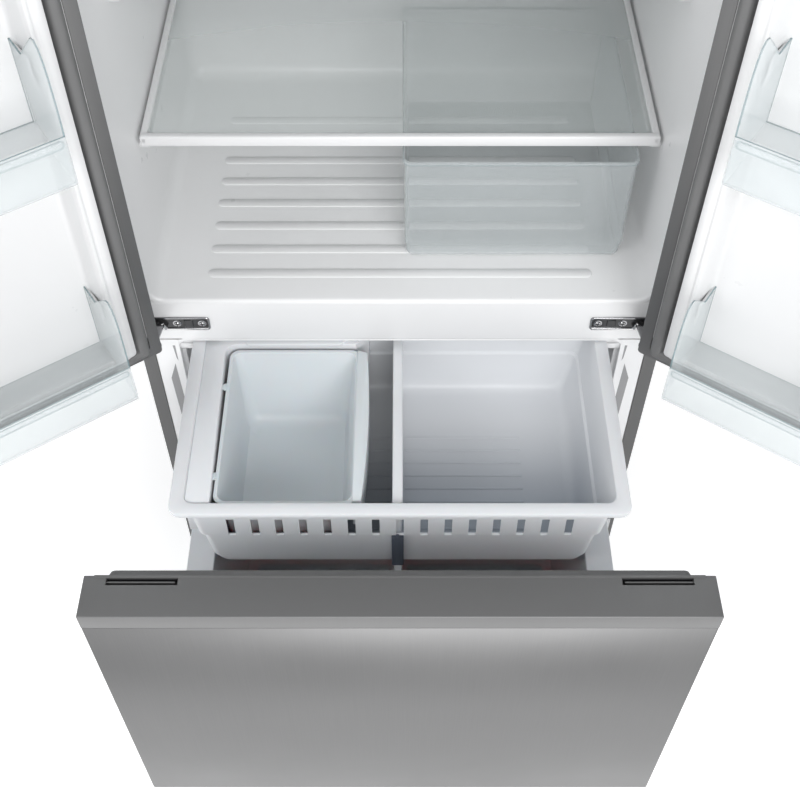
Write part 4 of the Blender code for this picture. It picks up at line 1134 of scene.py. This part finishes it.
class BasketsOperator(bpy.types.Operator):
    """Make the upper basket with its divider and tray, and the deep lower basket"""

    bl_idname = "refrigerator.baskets"
    bl_label = "Baskets"

    def execute(self, context):
        self.upper_basket()
        self.divider()
        self.tray()
        self.lower_basket()
        return {"FINISHED"}

    def basket_rings(self, low, high):
        """The upper basket's skin from the skirt of its rim, over the rim and down to its floor."""
        rim, foot_half, foot_front, foot_back = 0.021, 0.284, FRONT + 0.122, FRONT + 0.48
        body_half, front, back = high.x - rim, low.y + rim, high.y - rim
        top, bottom = high.z, low.z

        def level(z, inset=0.0, radius=0.012):
            share = (z - bottom) / (top - bottom)
            half = foot_half + (body_half - foot_half) * share - inset
            y0 = foot_front + (front - foot_front) * share + inset
            y1 = foot_back + (back - foot_back) * share - inset
            return -half, half, y0, y1, z, radius

        rows = [
            evenly(0.001, top - 0.0098, 0.017), evenly(0.0, top - 0.008, 0.018),
            evenly(0.0, top - 0.0028, 0.018), evenly(0.0008, top - 0.0008, 0.0172), evenly(0.003, top, 0.016),
        ]
        return drawn_in(low, high, rows) + [
            level(top, -0.0032, 0.016), level(top - 0.0008, -0.001, 0.014), level(top - 0.0032, 0.0, 0.013),
            level(top - 0.04), level(top - 0.079), level(top - 0.082, 0.004), level(top - 0.1, 0.0042),
            level(bottom + 0.022, 0.0044), level(bottom + 0.008, 0.0065, 0.018),
            level(bottom + 0.0022, 0.0125, 0.02), level(bottom, 0.022, 0.02),
        ]

    def upper_basket(self):
        low, high = shut_box("upper_basket")
        shape = loft(self.basket_rings(low, high), "Z", last=True, hollow=True)
        self.cut_slots(shape, high.z)
        # Faces below the rim take the inside finish with painted shade; the rim stays plain.
        for face in shape.faces:
            face.material_index = 0 if face.calc_center_median().z < high.z - 0.0035 else 1
        walls = {"wall": sizes().plastic, "edge": 0.0006}
        finishes = ("basket_inside_painted_shade", "basket")
        made = piece("upper_basket_white", [shape], "upper_basket", "white_liner", *finishes, **walls)
        # The outer side of the wall takes the plain basket finish, without the painted shade.
        made.modifiers["wall"].material_offset = 1
        self.basket_ribs(low, high)

    def cut_slots(self, shape, top):
        """A row of upright slots through the front wall, under the rim."""
        count, pitch, width = sizes().slots, 0.0354, 0.0113
        first = -pitch * (count - 1) / 2

        def front_faces():
            found = []
            for face in shape.faces:
                centre = face.calc_center_median()
                level = top - 0.077 < centre.z < top - 0.041
                if level and centre.y < FRONT + 0.15 and abs(face.normal.y) > 0.8:
                    found.append(face)
            return found

        for x in (first + pitch * i + edge for i in range(count) for edge in (-width / 2, width / 2)):
            geom = set()
            for face in front_faces():
                geom |= {face, *face.edges, *face.verts}
            bmesh.ops.bisect_plane(shape, geom=list(geom), plane_co=(x, 0, 0), plane_no=ACROSS)
        holes = []
        for face in front_faces():
            x = face.calc_center_median().x
            offset = (x - first + pitch / 2) % pitch - pitch / 2
            if abs(x) < -first + width and abs(offset) < width / 4:
                holes.append(face)
        bmesh.ops.delete(shape, geom=holes, context="FACES_ONLY")

    def basket_ribs(self, low, high):
        """Low ribs across the floor, a channel on the front painted dark as shadow with a pin over it, and
        the tray's step.
        """
        shapes = []
        for i in range(8):
            y = FRONT + 0.1835 + 0.0255 * i
            for span in ((0.0075, 0.199), (-0.205, -0.0145)):
                shapes.append(low_rib(span, (y, y + 0.0052), low.z, 0.0013))
        # The channel block and its pin are painted shadow, dark blue grey where the gap lies in shade.
        channel = (-0.0125, FRONT + 0.119, low.z + 0.0005), (0.0055, FRONT + 0.13, high.z - 0.0835)
        shapes.append(block(*channel, 0.0015, slot=1))
        shapes.append(drum((-0.0035, FRONT + 0.1195, high.z - 0.08), INWARDS, 0.0028, 0.004, 20, 0.0004, 1))
        shapes += self.tray_ledge(high)
        # The ribs take the inside finish with painted shade; the channel and its pin take the painted shadow.
        finishes = ("basket_inside_painted_shade", "shadow", "basket")
        piece("upper_basket_mouldings", shapes, "upper_basket", "white_liner", *finishes)

    def tray_ledge(self, high):
        """The step that wraps round the tray's left and rear edges, and the finger tab behind the tray."""
        tray = shut_box("ice_tray")
        gap = 0.007
        top, foot = high.z - 0.003, high.z - 0.075
        outer, rear, front = high.x - 0.0215, high.y - 0.0215, high.y - 0.378
        left, back, end = tray[0].x - gap, tray[1].y + gap, tray[1].x + 0.012
        corner = arc_points((left + 0.02, back - 0.02), 0.02, 180, 90, 8)
        chamfer = [(end - 0.02, back), (end, back + 0.02), (end, rear)]
        points = [(-outer, front), (left + 0.004, front), *corner, *chamfer, (-outer, rear)]
        tab = [(-0.256, back + 0.017), (-0.243, back - 0.003), (-0.096, back - 0.003), (-0.073, back + 0.017)]
        raised = (top - 0.004, top + 0.0025)
        return [outline(points, "Z", (foot, top), 0.0022, 2), outline(tab, "Z", raised, 0.0012, 2)]

    def divider(self):
        low, high = shut_box("basket_divider")
        top = high.z
        rows = [
            (0.002, 0.002, 0, 0, low.z, 0.004), (0.0005, 0.0005, 0, 0, top - 0.006, 0.0055),
            evenly(0, top - 0.004, 0.006), evenly(0, top - 0.0015, 0.006), evenly(0.0015, top, 0.0045),
        ]
        shape = loft(drawn_in(low, high, rows), "Z", first=True, last=True)
        piece("basket_partition", [shape], "basket_divider", "white_liner", "basket")

    def tray(self):
        """The lift-out tray: rounded corners, a bulging right wall and two lugs on its left edge."""
        low, high = shut_box("ice_tray")
        top, foot = high.z, low.z
        rows = [
            evenly(0, top - 0.003, 0.016), evenly(0, top, 0.016), (0.005, 0.0075, 0.005, 0.005, top, 0.014),
            (0.0064, 0.009, 0.0064, 0.0064, top - 0.003, 0.014),
            (0.012, 0.02, 0.01, 0.016, top - 0.09, 0.018),
            (0.014, 0.023, 0.012, 0.022, foot + 0.02, 0.022), (0.02, 0.029, 0.018, 0.03, foot + 0.007, 0.024),
            (0.033, 0.042, 0.03, 0.044, foot + 0.0012, 0.024),
        ]
        shapes = [loft(drawn_in(low, high, rows), "Z", last=True, hollow=True)]
        start, reach = low.y + 0.004, high.y - low.y - 0.012
        bulge = []
        for t in (i / 12 for i in range(13)):
            bulge.append((high.x + 0.0059 + 0.0045 * t + 0.0248 * t * (1 - t), start + reach * t))
        wall = [(high.x - 0.007, start), *bulge, (high.x - 0.0055, high.y - 0.002)]
        shapes.append(outline(wall, "Z", (top - 0.06, top + 0.003), 0.0014))
        for y in (low.y + 0.05, high.y - 0.075):
            shapes.append(drum((low.x - 0.0005, y, top - 0.0022), UP, 0.0065, 0.0036, 24, 0.0008))
        walls = {"wall": sizes().plastic, "edge": 0.0006}
        piece("lift_out_tray", shapes, "ice_tray", "frosted_plastic", "tray", **walls)

    def lower_basket(self):
        low, high = shut_box("lower_basket")
        top, foot = high.z, low.z
        rows = [evenly(0, top - 0.008, 0.006), evenly(0, top - 0.0012, 0.006), evenly(0.0012, top, 0.005)]
        rings = drawn_in(low, high, rows)
        half = 0.2865
        for side, front, back, level, radius in (
            (-0.0012, 0.004, 0.004, top, 0.012), (0.0, 0.0048, 0.0048, top - 0.0015, 0.012),
            (0.001, 0.006, 0.006, top - 0.12, 0.014), (0.004, 0.009, 0.012, foot + 0.014, 0.016),
            (0.008, 0.013, 0.016, foot + 0.004, 0.016), (0.016, 0.021, 0.024, foot, 0.014),
        ):
            rings.append((side - half, half - side, low.y + front, high.y - back, level, radius))
        shape = loft(rings, "Z", last=True, hollow=True)
        walls = {"wall": sizes().plastic, "edge": 0.0006}
        piece("lower_basket_white", [shape], "lower_basket", "white_liner", "basket", **walls)
        wall = []
        for inset, level in ((0.0, foot + 0.002), (0.0005, top - 0.016), (0.002, top - 0.012)):
            wall.append((inset - 0.01, 0.004 - inset, low.y + 0.008, high.y - 0.01, level, 0.003))
        shapes = [loft(wall, "Z", last=True)]
        for i in range(6):
            y = low.y + 0.055 + 0.045 * i
            for span in ((-0.262, -0.018), (0.012, 0.262)):
                shapes.append(low_rib(span, (y, y + 0.016), foot + sizes().plastic, 0.0012))
        piece("lower_basket_partition", shapes, "lower_basket", "white_liner", "basket")


# Machine parts and feet


class MachineOperator(bpy.types.Operator):
    """Finish the compressor, heat exchangers, fans, drain pan, feet and rollers"""

    bl_idname = "refrigerator.machine"
    bl_label = "Machine parts and feet"

    def execute(self, context):
        self.compressor()
        carried("condenser", "fins")
        carried("drain_pan", "black", 0.0006)
        for fan in ("condenser_fan", "evaporator_fan"):
            carried(fan, "black", 0.0004)
        for name, _ in SIDES:
            self.foot(name)
            self.roller(name)
        return {"FINISHED"}

    def compressor(self):
        """A welded pot with a seam round its middle, on rubber feet."""
        low, high = shut_box("compressor")
        x, y = (low.x + high.x) / 2, (low.y + high.y) / 2
        pot = bmesh.new()
        place = Matrix.Translation((x, y, 0.155)) @ Matrix.Diagonal((0.085, 0.075, 0.085, 1.0))
        bmesh.ops.create_uvsphere(pot, u_segments=40, v_segments=24, radius=1.0, matrix=place)
        seam = [(x - 0.087, x + 0.087, y - 0.077, y + 0.077, z, 0.0765) for z in (0.15, 0.156)]
        terminals = (x + 0.06, y - 0.022, 0.135), (x + 0.09, y + 0.022, 0.18)
        shapes = [
            pot,
            loft(seam, "Z", first=True, last=True),
            block(low, (high.x, high.y, low.z + 0.0028), 0.001),
            *(drum((x + dx, y, 0.075), UP, 0.01, 0.048, 20, 0.002, 1) for dx in (-0.045, 0.045)),
            block(*terminals, 0.004, 3, 1),
        ]
        piece("compressor_pot", shapes, "compressor", "black_steel", "enamel", "black")

    def foot(self, name):
        """A round foot with a hexagon, on a threaded stem."""
        node = f"{name}_levelling_leg"
        low, high = shut_box(node)
        x, y = (low.x + high.x) / 2, (low.y + high.y) / 2
        stem, thread_pitch = 0.018, 0.0016
        shapes = [
            drum((x, y, 0.005), UP, 0.018, 0.01, 36, 0.0015, 1),
            drum((x, y, 0.0135), UP, 0.0095, 0.009, 6, 0.0008),
            drum((x, y, (high.z + stem) / 2), UP, 0.0043, high.z - stem, 20, 0.0006),
        ]
        for i in range(int((high.z - 0.022) / thread_pitch)):
            shapes.append(drum((x, y, 0.0195 + thread_pitch * i), UP, 0.005, 0.0009, 16))
        piece(f"{node}_turned", shapes, node, "galvanised_steel", "zinc", "black")

    def roller(self, name):
        """A wheel with a soft tread and a hub."""
        node = f"{name}_rear_roller"
        low, high = shut_box(node)
        centre, radius = (low + high) / 2, (high.z - low.z) / 2
        shapes = [
            drum(centre, ACROSS, radius, 0.016, 40, 0.002),
            drum(centre, ACROSS, radius * 0.62, 0.0185, 32, 0.001, 1),
            drum(centre, ACROSS, 0.003, high.x - low.x, 16, 0.0006, 1),
        ]
        piece(f"{node}_wheel", shapes, node, "black_plastic", "black", "zinc")


# Stage


def floor_material():
    material, tree, shader = new_material("pale floor")
    cloud = noise(tree, tree.nodes.new("ShaderNodeTexCoord").outputs["Object"], 0.8)
    colour = mix_colour(tree, cloud.outputs["Fac"], (0.93, 0.93, 0.93), (0.96, 0.96, 0.96))
    tree.links.new(colour, shader.inputs["Base Color"])
    shader.inputs["Roughness"].default_value = 0.85
    shader.inputs["Emission Color"].default_value = (1.0, 1.0, 1.0, 1.0)
    shader.inputs["Emission Strength"].default_value = 0.42
    return material


def area_light(name, place, aim, size, energy):
    data = bpy.data.lights.new(name, "AREA")
    data.shape = "RECTANGLE"
    data.size, data.size_y = size
    data.energy = energy
    obj = bpy.data.objects.new(name, data)
    obj.location = place
    obj.rotation_euler = (Vector(aim) - Vector(place)).to_track_quat("-Z", "Y").to_euler()
    bpy.context.scene.collection.objects.link(obj)


class StageOperator(bpy.types.Operator):
    """Set the floor, the soft lights, the sky and the camera"""

    bl_idname = "refrigerator.stage"
    bl_label = "Stage"

    def execute(self, context):
        scene = context.scene
        floor = bmesh.new()
        bmesh.ops.create_grid(floor, x_segments=1, y_segments=1, size=14.0)
        mesh = bpy.data.meshes.new("floor")
        floor.to_mesh(mesh)
        floor.free()
        mesh.materials.append(floor_material())
        ground = bpy.data.objects.new("floor", mesh)
        scene.collection.objects.link(ground)
        world = bpy.data.worlds.new("studio")
        world.use_nodes = True
        world.node_tree.nodes["Background"].inputs["Color"].default_value = (0.97, 0.98, 1.0, 1.0)
        world.node_tree.nodes["Background"].inputs["Strength"].default_value = 0.62
        scene.world = world
        area_light("key", (0.9, -3.4, 2.9), (0, -0.1, 0.6), (2.2, 1.4), 72)
        area_light("fill", (-2.3, -1.8, 2.6), (0, -0.1, 0.6), (1.6, 1.6), 26)
        area_light("front", (0.0, -2.1, 1.5), (0, -0.2, 0.6), (1.4, 0.5), 11)
        camera = bpy.data.cameras.new("camera")
        camera.sensor_width = 36.0
        camera.lens = 51.552
        camera.clip_start = 0.01
        eye = bpy.data.objects.new("camera", camera)
        eye.location = EYE
        eye.rotation_euler = (math.radians(EYE_TILT), 0.0, 0.0)
        scene.collection.objects.link(eye)
        scene.camera = eye
        scene.view_settings.view_transform = "Standard"
        return {"FINISHED"}


OPERATORS = (
    FinishesOperator,
    StageOperator,
    CabinetOperator,
    FreshFoodOperator,
    FreezerOperator,
    ShelvesOperator,
    DoorsOperator,
    DoorBinsOperator,
    HingesOperator,
    DrawerFrontOperator,
    BasketsOperator,
    MachineOperator,
)


class RefrigeratorPanel(bpy.types.Panel):
    bl_idname = "VIEW3D_PT_refrigerator"
    bl_label = "Refrigerator"
    bl_space_type = "VIEW_3D"
    bl_region_type = "UI"
    bl_category = "Refrigerator"

    def draw(self, context):
        for group in (context.scene.refrigerator_sizes, context.scene.refrigerator_colours):
            for name in group.__annotations__:
                self.layout.prop(group, name)
        for operator in OPERATORS:
            self.layout.operator(operator.bl_idname)


CLASSES = (RefrigeratorSizes, RefrigeratorColours, *OPERATORS, RefrigeratorPanel)


def register():
    for cls in CLASSES:
        bpy.utils.register_class(cls)
    bpy.types.Scene.refrigerator_sizes = PointerProperty(type=RefrigeratorSizes)
    bpy.types.Scene.refrigerator_colours = PointerProperty(type=RefrigeratorColours)


def unregister():
    del bpy.types.Scene.refrigerator_colours
    del bpy.types.Scene.refrigerator_sizes
    for cls in reversed(CLASSES):
        bpy.utils.unregister_class(cls)


def main():
    register()
    for operator in OPERATORS:
        space, name = operator.bl_idname.split(".")
        getattr(getattr(bpy.ops, space), name)()


if __name__ == "__main__":
    main()
